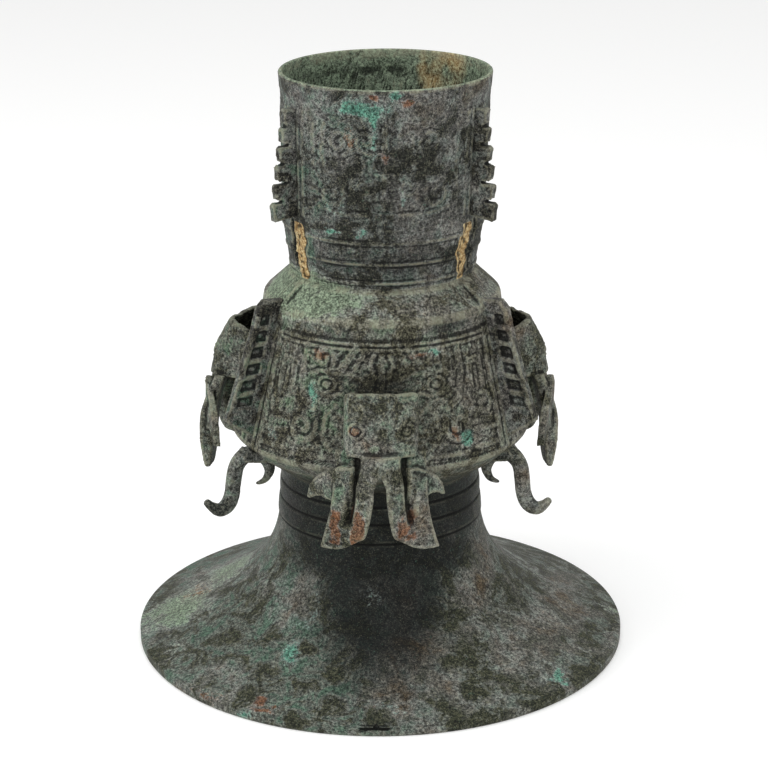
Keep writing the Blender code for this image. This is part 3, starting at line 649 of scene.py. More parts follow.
def foot_piece():
    """Neck and trumpet foot, hollow, with its bow-string lines."""
    outline = [(FOOT_RADIUS - 0.0006, 0.0, 0.0), (FOOT_RADIUS - 0.0001, 0.0006, 0.0)]
    outline += [(FOOT_RADIUS - 0.0001, mix(0.0012, LIP_HEIGHT - 0.0006, step / 7), 0.4) for step in range(8)]
    outline.append((FOOT_RADIUS - 0.0005, LIP_HEIGHT, 0.6))
    flared = []
    start = LIP_HEIGHT + 0.0001
    for step in range(1, 130):
        height = mix(start, RING_HEIGHTS[0] - 0.002, (step / 129) ** 1.75)
        flared.append((flare(height) + 0.0003, height, 1.0))
    outline += flared
    for step in range(1, 56):
        height = mix(RING_HEIGHTS[0] - 0.002, NECK_END, step / 55)
        outline.append((flare(height) + 0.0003 * (1.0 - step / 55), height, min(1.0, (56 - step) / 3)))
    outline.append((NECK_RADIUS - 0.0004, NECK_END + 0.0012, 0.0))
    outline.append((NECK_RADIUS - WALL, NECK_END + 0.0010, 0.0))
    for step in range(1, 22):
        height = mix(NECK_END, LIP_HEIGHT, (step / 22) ** 0.62)
        slope = (flare(height + 0.0003) - flare(height - 0.0003)) / 0.0006
        length = math.hypot(1.0, slope)
        outline.append((flare(height) - WALL / length, height + WALL * slope / length, -0.6))
    outline.append((FOOT_RADIUS - LIP_WIDTH, 0.0, 0.0))
    return turned_piece("vessel_foot", outline, FOOT_COLUMNS, neck_lift)


def belly_lift(azimuth, height, radius):
    """Relief and skin of the belly, its plain band, shoulder and underside."""
    places = wall_places(azimuth, height, radius)
    relief = belly_relief(azimuth, height)
    wear = 0.72 + 0.75 * layered(places, 17.0 * MM, 3, 71)
    shown = (height > CHAMFER_END) & (height < BELLY_END + 0.001)
    move = relief * np.clip(wear, 0.45, 1.25) * BELLY_RELIEF_GAIN * shown
    plain = mix(0.30, 0.15, ease(BELLY_END, BELLY_END + 0.002, height))
    move = move + skin(places, 1.0 * MM, 41) * plain
    seam = np.abs(np.radians((azimuth + SECTOR) % SECTOR - SECTOR / 2)) * radius
    ridge = (1.0 - ease(4.5 * MM, 7.5 * MM, seam)) * ease(BAND_END - 0.002, BAND_END + 0.003, height)
    return move + ridge * (1.0 - ease(SHOULDER_END - 0.004, SHOULDER_END, height)) * 1.7 * MM


def belly_piece():
    """Underside, belly, plain band and shoulder, hollow."""
    outline = []
    for start, end, step in zip(BELLY_LINE, BELLY_LINE[1:], (2.6, 1.6, 0.90, 1.6, 1.8)):
        stretch = fine_line([start, end], step * MM)
        outline += [(radius, height, 1.0) for radius, height in stretch[:-1]]
    outline[0] = (*outline[0][:2], 0.0)
    outline.append((TUBE_BASE_RADIUS - 0.0004, SHOULDER_END + 0.0006, 0.0))
    outline.append((TUBE_BASE_RADIUS - WALL, SHOULDER_END - WALL * 0.4, 0.0))
    inner = [
        (SHOULDER_RADIUS - WALL, BAND_END - WALL * 0.5), (BELLY_TOP_RADIUS - WALL, BELLY_END),
        (BELLY_EDGE_RADIUS - WALL * 1.1, CHAMFER_END + WALL * 0.3),
        (UNDERSIDE_RADIUS - WALL / 3, UNDERSIDE_END + WALL * 1.1), (NECK_RADIUS - WALL, NECK_END + WALL / 3),
    ]
    outline += [(radius, height, 0.0) for radius, height in fine_line(inner, 12.0 * MM)]
    outline = rounded(outline, (CHAMFER_END, BELLY_END, BAND_END))
    return turned_piece("vessel_belly", outline, BELLY_COLUMNS, belly_lift)


def rounded(outline, edges):
    """Outline with its outer corners near the given heights eased over about a millimetre and a half."""
    eased = list(outline)
    for index in range(1, len(eased) - 1):
        radius, height, shown = eased[index]
        if shown > 0.0 and any(abs(height - edge) < 0.9 * MM for edge in edges):
            before = eased[index - 1]
            after = eased[index + 1]
            radius = (before[0] + radius * 2 + after[0]) / 4
            height = (before[1] + height * 2 + after[1]) / 4
            eased[index] = (radius, height, shown)
    return eased


def tube_lift(azimuth, height, radius):
    """Relief, earth-filled windows and skin of the tube."""
    places = wall_places(azimuth, height, radius)
    wear = 0.68 + 0.85 * layered(places, 15.0 * MM, 3, 73)
    depth, fill, _ = window_depth(azimuth, height)
    outside = radius > TUBE_BASE_RADIUS - 0.0005
    relief = tube_relief(azimuth, height) * np.clip(wear, 0.30, 1.2) * TUBE_RELIEF_GAIN * (1.0 - fill)
    crumbs = fill * (layered(places, 4.0 * MM, 3, 91) * 0.7 + 0.1) * MM
    return (relief - depth + crumbs) * outside + skin(places, 0.24 * MM, 51)


def tube_piece():
    """Decorated tube with its rim, the cup inside it and the cup's floor."""
    outline = [
        (0.012, SHOULDER_END - 0.0030, 0.0), (0.040, SHOULDER_END - 0.0030, 0.0),
        (TUBE_BASE_RADIUS - 0.0030, SHOULDER_END - 0.0024, 0.0),
        (TUBE_BASE_RADIUS - 0.0008, SHOULDER_END - 0.0012, 0.0),
    ]
    stretch = fine_line(TUBE_LINE, 0.88 * MM)
    outline += [(radius, height, min(1.0, index / 2)) for index, (radius, height) in enumerate(stretch)]
    outline[-1] = (RIM_RADIUS - 0.0001, RIM - 0.0005, 0.3)
    outline += [
        (RIM_RADIUS - 0.0005, RIM, 0.0), (RIM_RADIUS - RIM_WALL + 0.0005, RIM, 0.0),
        (RIM_RADIUS - RIM_WALL, RIM - 0.0006, 0.0),
    ]
    inner = [
        (RIM_RADIUS - RIM_WALL, RIM - 0.0014), (TUBE_WAIST_RADIUS - WALL, WAIST),
        (TUBE_BASE_RADIUS - WALL, SHOULDER_END + WALL),
    ]
    outline += [(radius, height, 0.8) for radius, height in fine_line(inner, 3.4 * MM)]
    outline += [
        (TUBE_BASE_RADIUS - WALL * 2, SHOULDER_END + 0.0004, 0.4), (0.045, SHOULDER_END, 0.5),
        (0.030, SHOULDER_END, 0.5), (0.014, SHOULDER_END, 0.5), (0.004, SHOULDER_END, 0.0),
    ]
    return turned_piece("vessel_tube", outline, TUBE_COLUMNS, tube_lift, poles=True)


# Flanges

def ladder_rows():
    """Heights that part a ladder flange into rungs and pockets, from its foot to its top."""
    low = CHAMFER_END + (BELLY_END - CHAMFER_END) * 0.36
    high = BAND_END - RUNG_WIDTH
    pitch = (high - low + RUNG_WIDTH) / RUNG_COUNT
    rows = []
    for index in range(RUNG_COUNT):
        rows.append(low + pitch * index)
        rows.append(low + pitch * (index + 1) - RUNG_WIDTH)
    return rows


def ladder_reach(height):
    """Outer radius of a ladder flange at a height."""
    low = CHAMFER_END + (BELLY_END - CHAMFER_END) * 0.26
    share = min(1.0, max(0.0, (height - low) / (BAND_END - low)))
    return wall_radius(height) + mix(BELLY_FLANGE_FOOT, BELLY_FLANGE_TOP, share)


def ladder_stations():
    """Rows of (radius, height) stations across a ladder flange, the lowest row slanting up outwards."""
    low = CHAMFER_END + (BELLY_END - CHAMFER_END) * 0.08
    high = CHAMFER_END + (BELLY_END - CHAMFER_END) * 0.26
    inside = wall_radius(low) - WALL / 2
    reach = ladder_reach(high)
    rows = [[(mix(inside, reach, share), mix(low, high, share)) for share in (0.0, 0.3, 0.85, 1.0)]]
    heights = ladder_rows()
    for height in [heights[0] - RUNG_WIDTH] + heights + [BAND_END]:
        wall = wall_radius(height)
        reach = ladder_reach(height)
        radii = (wall - WALL / 2, wall + INNER_RAIL, reach - RAIL_WIDTH, reach)
        rows.append([(radius, height) for radius in radii])
    height = BAND_END + FLANGE_CAP_RISE
    wall = wall_radius(height)
    reach = ladder_reach(BAND_END) - FLANGE_CAP_SLANT
    rows.append([
        (wall - WALL / 2, height - WALL / 2), (wall + INNER_RAIL / 2, height - WALL / 4),
        (reach - RAIL_WIDTH, height), (reach, height),
    ])
    return rows


def ladder_flange(name, azimuth):
    """Ladder-like flange on the belly: a plate with pockets between its rungs on both faces."""
    builder = bmesh.new()
    across = direction(azimuth + 90.0)
    rows = ladder_stations()
    last = len(rows) - 1
    sheets = []
    pockets = []
    for side in (-1.0, 1.0):
        sheet = []
        for row, stations in enumerate(rows):
            aside = side * FLANGE_THICKNESS * (1.25 if row >= last - 1 else 1.0) / 2
            sheet.append([builder.verts.new(plane_point(azimuth, *station, aside)) for station in stations])
        sheets.append(sheet)
        for row, (low, high) in enumerate(zip(sheet, sheet[1:])):
            middle = strip(builder, low, high)[1]
            if 2 <= row < last - 2 and row % 2 == 0:
                depth = POCKET_DEPTH * mix(0.35, 1.0, min(1.0, row / last * 1.5))
                pockets.append((middle, across * -side * depth))
    left, right = sheets
    for end in (0, -1):
        strip(builder, left[end], right[end])
        strip(builder, [row[end] for row in left], [row[end] for row in right])
    for face, move in pockets:
        for sunk in bmesh.ops.extrude_discrete_faces(builder, faces=[face])["faces"]:
            bmesh.ops.translate(builder, verts=sunk.verts, vec=move)
    item = fused(name, [builder], soften=2)
    roughen(item, 0.32 * MM, 61 + round(azimuth))
    return item


def toothed_flange(name, azimuth):
    """Toothed flange on the tube, with alternating shallow and deep notches."""
    pitch = TOOTH_HEIGHT + TOOTH_GAP
    low = WAIST + (RIM - WAIST) * 0.095
    high = low + pitch * TOOTH_COUNT - TOOTH_GAP
    outline = [(wall_radius(low) - WALL / 2, low)]
    for index in range(TOOTH_COUNT):
        start = low + pitch * index
        end = start + TOOTH_HEIGHT
        reach = mix(TUBE_FLANGE_FOOT, TUBE_FLANGE_TOP, index / (TOOTH_COUNT - 1))
        droop = TOOTH_GAP * 0.9 if index == 0 else 0.0
        outline.append((wall_radius(start) + reach * 0.94, start - droop))
        outline.append((wall_radius(end) + reach, end - TOOTH_GAP * 0.4))
        outline.append((wall_radius(end) + reach * 0.9, end))
        if index < TOOTH_COUNT - 1:
            root = 0.36 if index % 2 else 0.58
            outline.append((wall_radius(end) + reach * root, end))
            outline.append((wall_radius(end) + reach * root, end + TOOTH_GAP))
    outline.append((wall_radius(high) - WALL / 2, high))
    half = TUBE_FLANGE_THICKNESS / 2
    plate = raw_loft([
        [plane_point(azimuth, radius, height, -half) for radius, height in outline],
        [plane_point(azimuth, radius, height, half) for radius, height in outline],
    ])
    item = fused(name, [plate], soften=2)
    roughen(item, 0.30 * MM, 67 + round(azimuth))
    return item


# Masks

def mask_path(front, back, inset, rounding):
    """Plan of a mask's wall as (side, radius) points from its right root round the front to its left root."""
    half = MASK_HALF_WIDTH - inset
    corner = rounding - inset * 0.7
    right = [(half, mix(back, front - inset - corner, step / 5)) for step in range(6)]
    for step in range(1, 7):
        turn = math.radians(15.0 * step)
        right.append((
            half - corner + corner * math.cos(turn), front - inset - corner + corner * math.sin(turn),
        ))
    right += [(mix(half - corner, 0.0, step / 4), front - inset) for step in range(1, 5)]
    return right + [(-side, radius) for side, radius in reversed(right[:-1])]


def mask_front_radius(height, top, shift):
    """Radius of a mask's front face at a height."""
    brow = mix(MASK_BOTTOM, top, MASK_BROW)
    low = MASK_REACH + (MASK_SIDE_REACH if shift > 0.0 else 0.0)
    reach = float(np.interp(
        height, [MASK_BOTTOM, MASK_BOTTOM + 0.0054, brow, top],
        [low, low, mix(low, MASK_REACH_TOP, 0.1) + 0.0010, MASK_REACH_TOP],
    ))
    return wall_radius(height) + reach + shift


def mask_shell(name, azimuth, top, seed):
    """Hollow muzzle block open at its top, where its broken rim slopes down to the belly."""
    builder = bmesh.new()
    shift = MASK_SHIFTS[name]
    rounding = MASK_CORNERS[name]
    levels = [mix(MASK_BOTTOM, top, step / 18) for step in range(19)]
    count = len(mask_path(0.13, 0.1, 0.0, rounding))
    outer = []
    inner = []
    for level in levels:
        share = (level - MASK_BOTTOM) / (top - MASK_BOTTOM)
        front = mask_front_radius(level, top, shift)
        back = wall_radius(level) - 0.0010
        rows = []
        for inset in (0.0, MASK_WALL):
            row = []
            for index, (side, radius) in enumerate(mask_path(front, back, inset, rounding)):
                along = abs(index / (count - 1) - 0.5) * 2.0
                slope = MASK_RIM_SLOPES[name] * ease(0.42, 1.0, along)
                jag = MASK_RIM_JAGS[name] * (math.sin(index * 1.7 + seed) + math.sin(index * 0.6))
                height = level - (slope + max(0.0, jag)) * share ** 4
                row.append(builder.verts.new(plane_point(azimuth, radius, height, side)))
            rows.append(row)
        outer.append(rows[0])
        inner.append(rows[1])
    for sheet in (outer, inner):
        for low, high in zip(sheet, sheet[1:]):
            strip(builder, low, high)
    for end in (0, -1):
        strip(builder, outer[end], inner[end])
        strip(builder, [row[end] for row in outer], [row[end] for row in inner])
    return builder


def mask_floor(azimuth, shift, rounding):
    """Bottom plate of the muzzle block."""
    sections = []
    for level in (MASK_BOTTOM, MASK_BOTTOM + MASK_WALL):
        front = mask_front_radius(level, MASK_BOTTOM + MASK_HEIGHT, shift) - 0.0006
        path = mask_path(front, wall_radius(level) - 0.0010, 0.0006, rounding)
        sections.append([plane_point(azimuth, radius, level, side) for side, radius in path])
    return raw_loft(sections)


def horn_edges(share):
    """Inner edge, outer edge and reach of a horn, by the share of the way down."""
    inner = 0.0052 * float(ease(0.08, 0.34, share)) + 0.0040 * float(ease(0.34, 0.88, share)) - 0.0004
    inner += 0.0050 * share ** 12
    outer = mix(0.0332, 0.0418, max(0.0, share * 1.6 - 0.6) ** 1.5)
    bulge = HORN_BULGE * math.sin(math.pi * (0.13 + share * 0.58)) - 0.0015
    return inner, outer, BELLY_EDGE_RADIUS + HORN_REACH + bulge - 0.0030 * share ** 4


def horn_depth(across, share):
    """How far back a horn's face lies: two round lobes with a groove between, dished with a rim below."""
    lobes = 1.0 - ease(0.62, 0.74, share)
    groove = math.exp(-((across - 0.52) / 0.075) ** 4) * 0.0046 * lobes
    lobe = across / 0.46 if across < 0.46 else (across - 0.58) / 0.42
    lobe = min(1.0, max(0.0, lobe))
    roundness = 0.0016 * (2.0 * lobe - 1.0) ** 4 * (0.35 + 0.65 * lobes)
    recess = 0.0036 * ease(0.50, 0.60, across) * (1.0 - ease(0.0, 0.55, share))
    edge = min(across, 1.0 - across) * 34.0
    foot = (1.0 - share) * 69.0
    rim = math.exp(-((min(edge, foot) - 1.4) / 1.5) ** 2)
    dish = 0.0013 * ease(0.55, 0.75, share) * (1.0 - rim)
    return groove + roundness + recess + dish


def horn_solid(azimuth, sign, shift, thickness):
    """One long horn of a mask as a bmesh."""
    sections = []
    turn = math.radians(HORN_TURN)
    for row in range(41):
        share = row / 40
        inner, outer, reach = horn_edges(share)
        pinch = 1.0 - 0.66 * share ** 5
        front = []
        back = []
        for column in range(25):
            across = column / 24
            lift = HORN_LENGTH * (0.14 * (1.0 - across) ** 2.4 - 0.01 * across) * share ** 6
            lift -= 0.0012 * math.sin(across * math.pi) * share ** 6
            height = MASK_BOTTOM + MASK_WALL / 2 - HORN_LENGTH * share + max(lift, -0.0005)
            side = mix(inner, outer, across)
            crown = 0.0015 * (1.0 - abs(across * 2.0 - 1.0))
            for row_points, depth, tuck in (
                (front, horn_depth(across, share), 0.0),
                (back, thickness * pinch + crown, 0.0030 * (1.0 - across) ** 5),
            ):
                radius = reach + shift - side * math.tan(turn) - depth * math.cos(turn)
                aside = side + tuck * ease(0.05, 0.30, share) - depth * math.sin(turn)
                row_points.append(plane_point(azimuth, radius, height, sign * float(aside)))
        sections.append(front + list(reversed(back)))
    return raw_loft(sections)


def ear_solid(azimuth, sign, shift, size, droop):
    """Pointed ear that hooks out and down beside a horn, as a bmesh."""
    top = MASK_BOTTOM - HORN_LENGTH * 0.16
    turn = math.radians(HORN_TURN)
    reach = horn_edges(0.45)[2] + shift
    root = EAR_OUTLINE[0][0] * MM
    sections = []
    for depth in EAR_DEPTHS:
        section = []
        for side, drop in EAR_OUTLINE:
            side = root + (side * MM - root) * size
            bent = reach - max(0.0, side - EAR_BEND_START) * EAR_BEND
            radius = bent - side * math.tan(turn) - depth * math.cos(turn)
            level = top + drop * MM * size * droop
            section.append(plane_point(azimuth, radius, level, sign * (side - depth * math.sin(turn))))
        sections.append(section)
    return raw_loft(sections)


def mask_relief(azimuth):
    """Carving on a mask's block, as a function of points and normals."""
    out = np.array(direction(azimuth))
    across = np.array(direction(azimuth + 90.0))

    def carve(points, normals):
        side = points @ across / MM
        level = (points[:, 2] - MASK_BOTTOM) / MM
        radius = points @ out
        facing = normals @ out
        block = ease(-0.6, 1.4, level) * ease(0.25, 0.6, facing) * (radius > 0.106)
        u = np.abs(side)
        shape = eye(u, level, (17.0, 17.5), 5.0, 4.6) * 1.2
        paths = [
            ([(2.5, 3.0), (2.5, 18.0)], 2.0), ([(8.0, 26.0), (16.0, 28.0), (22.0, 24.0)], 2.0),
            (spiral((16.0, 33.5), 4.6, 1.2, -160.0, -380.0, 14), 1.7),
            ([(22.5, 4.0), (22.5, 20.0)], 1.8), ([(6.0, 5.0), (19.0, 5.5)], 1.8),
        ]
        shape = np.maximum(shape, figures(u, level, paths) * 0.45)
        ground = thunder(side, level, 5.2, 1.2, 21) * 0.25
        sides = (1.0 - ease(0.25, 0.6, facing)) * (radius > 0.104) * ease(1.0, 3.0, level)
        flank = thunder(radius / MM, level, 5.0, 1.2, 23) * 0.35 * sides
        return ((np.maximum(shape, ground) - 0.2) * block + flank) * MM * 0.85

    return carve


def mask_piece(name, azimuth, index):
    """Animal mask: hollow block, two horns and two ears."""
    shift = MASK_SHIFTS[name]
    top = MASK_BOTTOM + MASK_HEIGHT + MASK_EXTRA_HEIGHTS[name]
    solids = [mask_shell(name, azimuth, top, index * 2.1), mask_floor(azimuth, shift, MASK_CORNERS[name])]
    for sign in (-1.0, 1.0):
        size = EAR_SMALL if name == "mask_front" and sign > 0.0 else 1.0
        solids.append(horn_solid(azimuth, sign, shift, HORN_THICKNESSES[name]))
        solids.append(ear_solid(azimuth, sign, shift, size, EAR_DROOPS[name]))
    item = fused(name + "_casting", solids, voxel=0.0009, soften=2)
    roughen(item, 0.26 * MM, 81 + index, mask_relief(azimuth))
    return item


# Trunks

def limb(azimuth, stations, flatten=0.9, sides=14):
    """Round limb in an upright plane through (radius, height, thickness) stations, curved between them."""
    stations = np.array(stations)
    smooth = []
    for index in range(len(stations) - 1):
        before = stations[max(index - 1, 0)]
        start, end = stations[index], stations[index + 1]
        after = stations[min(index + 2, len(stations) - 1)]
        for step in range(5):
            t = step / 5
            smooth.append(0.5 * (
                2 * start + (end - before) * t + (2 * before - 5 * start + 4 * end - after) * t ** 2
                + (3 * start - before - 3 * end + after) * t ** 3
            ))
    smooth.append(stations[-1])
    sections = []
    for index, (radius, height, thickness) in enumerate(smooth):
        along = smooth[min(index + 1, len(smooth) - 1)][:2] - smooth[max(index - 1, 0)][:2]
        along = along / max(np.linalg.norm(along), 1e-9)
        section = []
        for step in range(sides):
            angle = 2 * math.pi * step / sides
            out = math.cos(angle) * thickness / 2
            side = math.sin(angle) * thickness / 2 * flatten
            section.append(plane_point(azimuth, radius - along[1] * out, height + along[0] * out, side))
        sections.append(section)
    return raw_loft(sections)


def trunk_piece(name, azimuth, index):
    """Curled trunk with a small claw beside it, hung under the belly's edge."""
    edge = BELLY_EDGE_RADIUS + TRUNK_SHIFTS[name]
    low = UNDERSIDE_END
    limbs = []
    for line, thick in ((TRUNK_LINE, TRUNK_THICKNESS), (CLAW_LINE, MM)):
        stations = [(edge + radius * MM, low + height * MM, share * thick) for radius, height, share in line]
        limbs.append(limb(azimuth, stations))
    root = raw_loft([
        [plane_point(azimuth, edge + radius * MM, low + height * MM, aside) for radius, height in TRUNK_ROOT]
        for aside in (-TRUNK_ROOT_HALF_WIDTH, TRUNK_ROOT_HALF_WIDTH)
    ])
    item = fused(name + "_casting", limbs + [root], voxel=0.0008, soften=3)
    roughen(item, 0.28 * MM, 95 + index)
    return item


# Patches of colour, each (azimuth, height, half width, half height, strength), its sizes in millimetres

MALACHITE = (
    (-10, 407, 17, 6, 1), (-2, 400, 4, 9, 1), (10, 417, 6, 4, 0.9), (-2.5, 383, 3, 10, 0.7),
    (12, 345, 4, 12, 0.6), (-28, 321, 10, 2, 0.8), (-10, 322, 6, 3, 0.7), (-26, 335, 10, 10, 0.5),
    (-28.6, 212, 4, 10, 0.8), (35.9, 180, 6, 6, 1.2), (25.3, 241, 5, 3, 0.8), (-45, 178, 12, 6, 0.6),
    (-29.5, 28, 7, 5, 0.9), (48.5, 10, 9, 3, 0.9), (-31.3, 3, 10, 4, 0.7), (3.6, 13, 16, 3, 0.5),
    (-4.7, 60, 12, 8, 0.5), (-31.3, 50, 16, 12, 0.5), (150, 380, 14, 10, 0.9), (-120, 350, 10, 16, 0.8),
    (165, 205, 10, 8, 0.9), (-150, 30, 22, 8, 0.6), (95, 180, 8, 7, 0.8),
)
CUPRITE = (
    (-4, 415, 4, 3, 0.9), (15.3, 412, 6, 4, 0.8), (3.3, 373, 4, 8, 0.8), (-14.9, 386, 5, 12, 0.6),
    (30.7, 184, 4, 7, 0.8), (17, 240, 10, 3, 0.7), (-26.9, 238, 9, 6, 0.7), (38, 52, 12, 12, 0.5),
    (65.5, 27, 30, 10, 0.34), (-94.9, 23, 30, 8, 0.6), (-27.6, 9, 12, 2, 0.9), (-2.5, 12, 8, 2, 0.6),
    (-43.6, 6, 30, 6, 0.6), (170, 30, 30, 10, 0.4), (200, 360, 8, 10, 0.7), (130, 230, 10, 6, 0.6),
)
# Dark patina and painted shade: the neck under the belly, the foot's middle front and the belly inside the
# front mask are darkened as shade.
DARK_PATINA_AND_SHADE = (
    (1, 60, 42, 36, 1.4), (-1, 36, 22, 10, 1), (0, 85, 70, 18, 1.5), (-20, 114, 75, 30, 1.4),
    (40, 114, 50, 30, 1.2), (0, 216, 26, 14, 0.9), (33.4, 258, 16, 7, 0.8), (-20, 256, 30, 6, 0.5),
    (10, 300, 40, 14, 0.7), (-25, 300, 20, 14, 0.6), (0, 330, 50, 30, 0.4), (-25, 190, 6, 12, 0.7),
    (28, 174, 10, 8, 0.6), (120, 112, 70, 24, 0.8), (-120, 112, 70, 24, 0.8), (180, 216, 28, 16, 0.6),
    (180, 85, 60, 14, 0.8), (150, 300, 50, 14, 0.6), (-140, 300, 50, 14, 0.6),
)
# Pale crust and painted light: the foot and the shoulder are painted paler on the left, towards the key
# light.
PALE_CRUST_AND_LIGHT = (
    (-53.6, 273, 42, 12, 2.2), (-30, 270, 30, 5, 0.8), (10, 268, 55, 8, 0.45), (-62, 420, 20, 10, 0.4),
    (-65, 12, 12, 4, 0.7), (-88.3, 18, 36, 12, 1), (91.9, 8, 12, 4, 0.7), (108, 36, 30, 14, 0.5),
    (-102, 34, 34, 16, 0.9), (-60, 262, 14, 12, 0.5), (60, 262, 14, 12, 0.4), (150, 272, 30, 8, 0.6),
)


def patches(points, spots, seed):
    """Soft patches on the body's outside with ragged edges, from 0 up."""
    warp = np.stack([layered(points, 9.0 * MM, 3, seed + step) for step in range(3)], axis=1) * 4.5 * MM
    warped = points + warp
    radius = np.maximum(np.hypot(warped[:, 0], warped[:, 1]), 0.03)
    azimuth = np.degrees(np.arctan2(warped[:, 0], -warped[:, 1]))
    total = np.zeros(len(points))
    for middle, height, half_width, half_height, strength in spots:
        turned = (azimuth - middle + 180.0) % 360.0 - 180.0
        aside = np.radians(turned) * radius / (half_width * MM)
        away = aside ** 2 + ((warped[:, 2] / MM - height) / half_height) ** 2
        total = np.maximum(total, strength * np.exp(-away * 0.7))
    return total


def paint(item, earth=None, rust=None, dark=None, pale=None, patched=True):
    """Attributes for the patina: tint_a (malachite, cuprite, earth), tint_b (dark patina with painted shade,
    pale crust with painted light, warm), hollow.
    """
    mesh = item.data
    points, normals, _ = mesh_arrays(mesh)
    count = len(points)
    nothing = np.zeros(count)
    green = patches(points, MALACHITE, 201) if patched else nothing
    red = patches(points, CUPRITE, 211) if patched else nothing
    shade = patches(points, DARK_PATINA_AND_SHADE, 221) if patched else nothing
    light = patches(points, PALE_CRUST_AND_LIGHT, 231) if patched else nothing
    red = np.maximum(red, nothing if rust is None else rust(points, normals))
    shade = np.maximum(shade, nothing if dark is None else dark(points, normals))
    light = np.maximum(light, nothing if pale is None else pale(points, normals))
    soil = nothing if earth is None else earth(points, normals)
    warm = ease(-0.06, 0.09, points[:, 0] + 0.03 * layered(points, 60.0 * MM, 2, 241))
    for title, channels in (("tint_a", (green, red, soil)), ("tint_b", (shade, light, warm))):
        layer = mesh.attributes.new(title, "FLOAT_COLOR", "POINT")
        colours = np.ones((count, 4), np.float32)
        colours[:, :3] = np.clip(np.stack(channels, axis=1), 0.0, 1.0)
        layer.data.foreach_set("color", colours.ravel())
    layer = mesh.attributes.new("hollow", "FLOAT", "POINT")
    layer.data.foreach_set("value", hollowness(mesh).astype(np.float32))


# Materials

DRIFT_STRENGTH = 0.6

GROUND_STOPS = (0.10, 0.36, 0.60, 0.86)

# Each patina: four tones of the ground from dark to light, its green and its brown drift,
# the strength of its pale specks and of the painted highlight on its ridges, and its least and greatest
# roughness
PATINAS = {
    "tube_patina": (
        ((19, 20, 18), (35, 37, 33), (56, 57, 50), (88, 89, 77)), (112, 150, 132), (122, 110, 96),
        0.60, 0.42, 0.50, 0.82,
    ),
    "belly_patina": (
        ((26, 26, 22), (56, 55, 45), (88, 87, 72), (132, 129, 108)), (124, 160, 130), (138, 122, 98),
        0.60, 0.42, 0.50, 0.82,
    ),
    "foot_patina": (
        ((26, 29, 24), (48, 51, 40), (71, 73, 58), (100, 101, 81)), (112, 152, 134), (138, 116, 94),
        0.30, 0.10, 0.40, 0.72,
    ),
    "flange_patina": (
        ((17, 17, 17), (38, 38, 35), (66, 65, 58), (106, 104, 90)), (112, 146, 126), (142, 120, 96),
        0.60, 0.42, 0.50, 0.82,
    ),
    "mask_patina": (
        ((24, 25, 21), (48, 50, 41), (78, 79, 65), (126, 124, 102)), (124, 164, 136), (150, 126, 102),
        0.66, 0.42, 0.50, 0.82,
    ),
    "trunk_patina": (
        ((26, 27, 26), (50, 53, 49), (76, 78, 71), (112, 111, 100)), (118, 150, 134), (140, 122, 104),
        0.30, 0.42, 0.50, 0.82,
    ),
}


def tone(red, green, blue):
    """Linear colour from the 0 to 255 values seen on a screen."""
    seen = np.array([red, green, blue]) / 255.0
    linear = np.where(seen <= 0.04045, seen / 12.92, ((seen + 0.055) / 1.055) ** 2.4)
    return (*[float(value) for value in linear], 1.0)


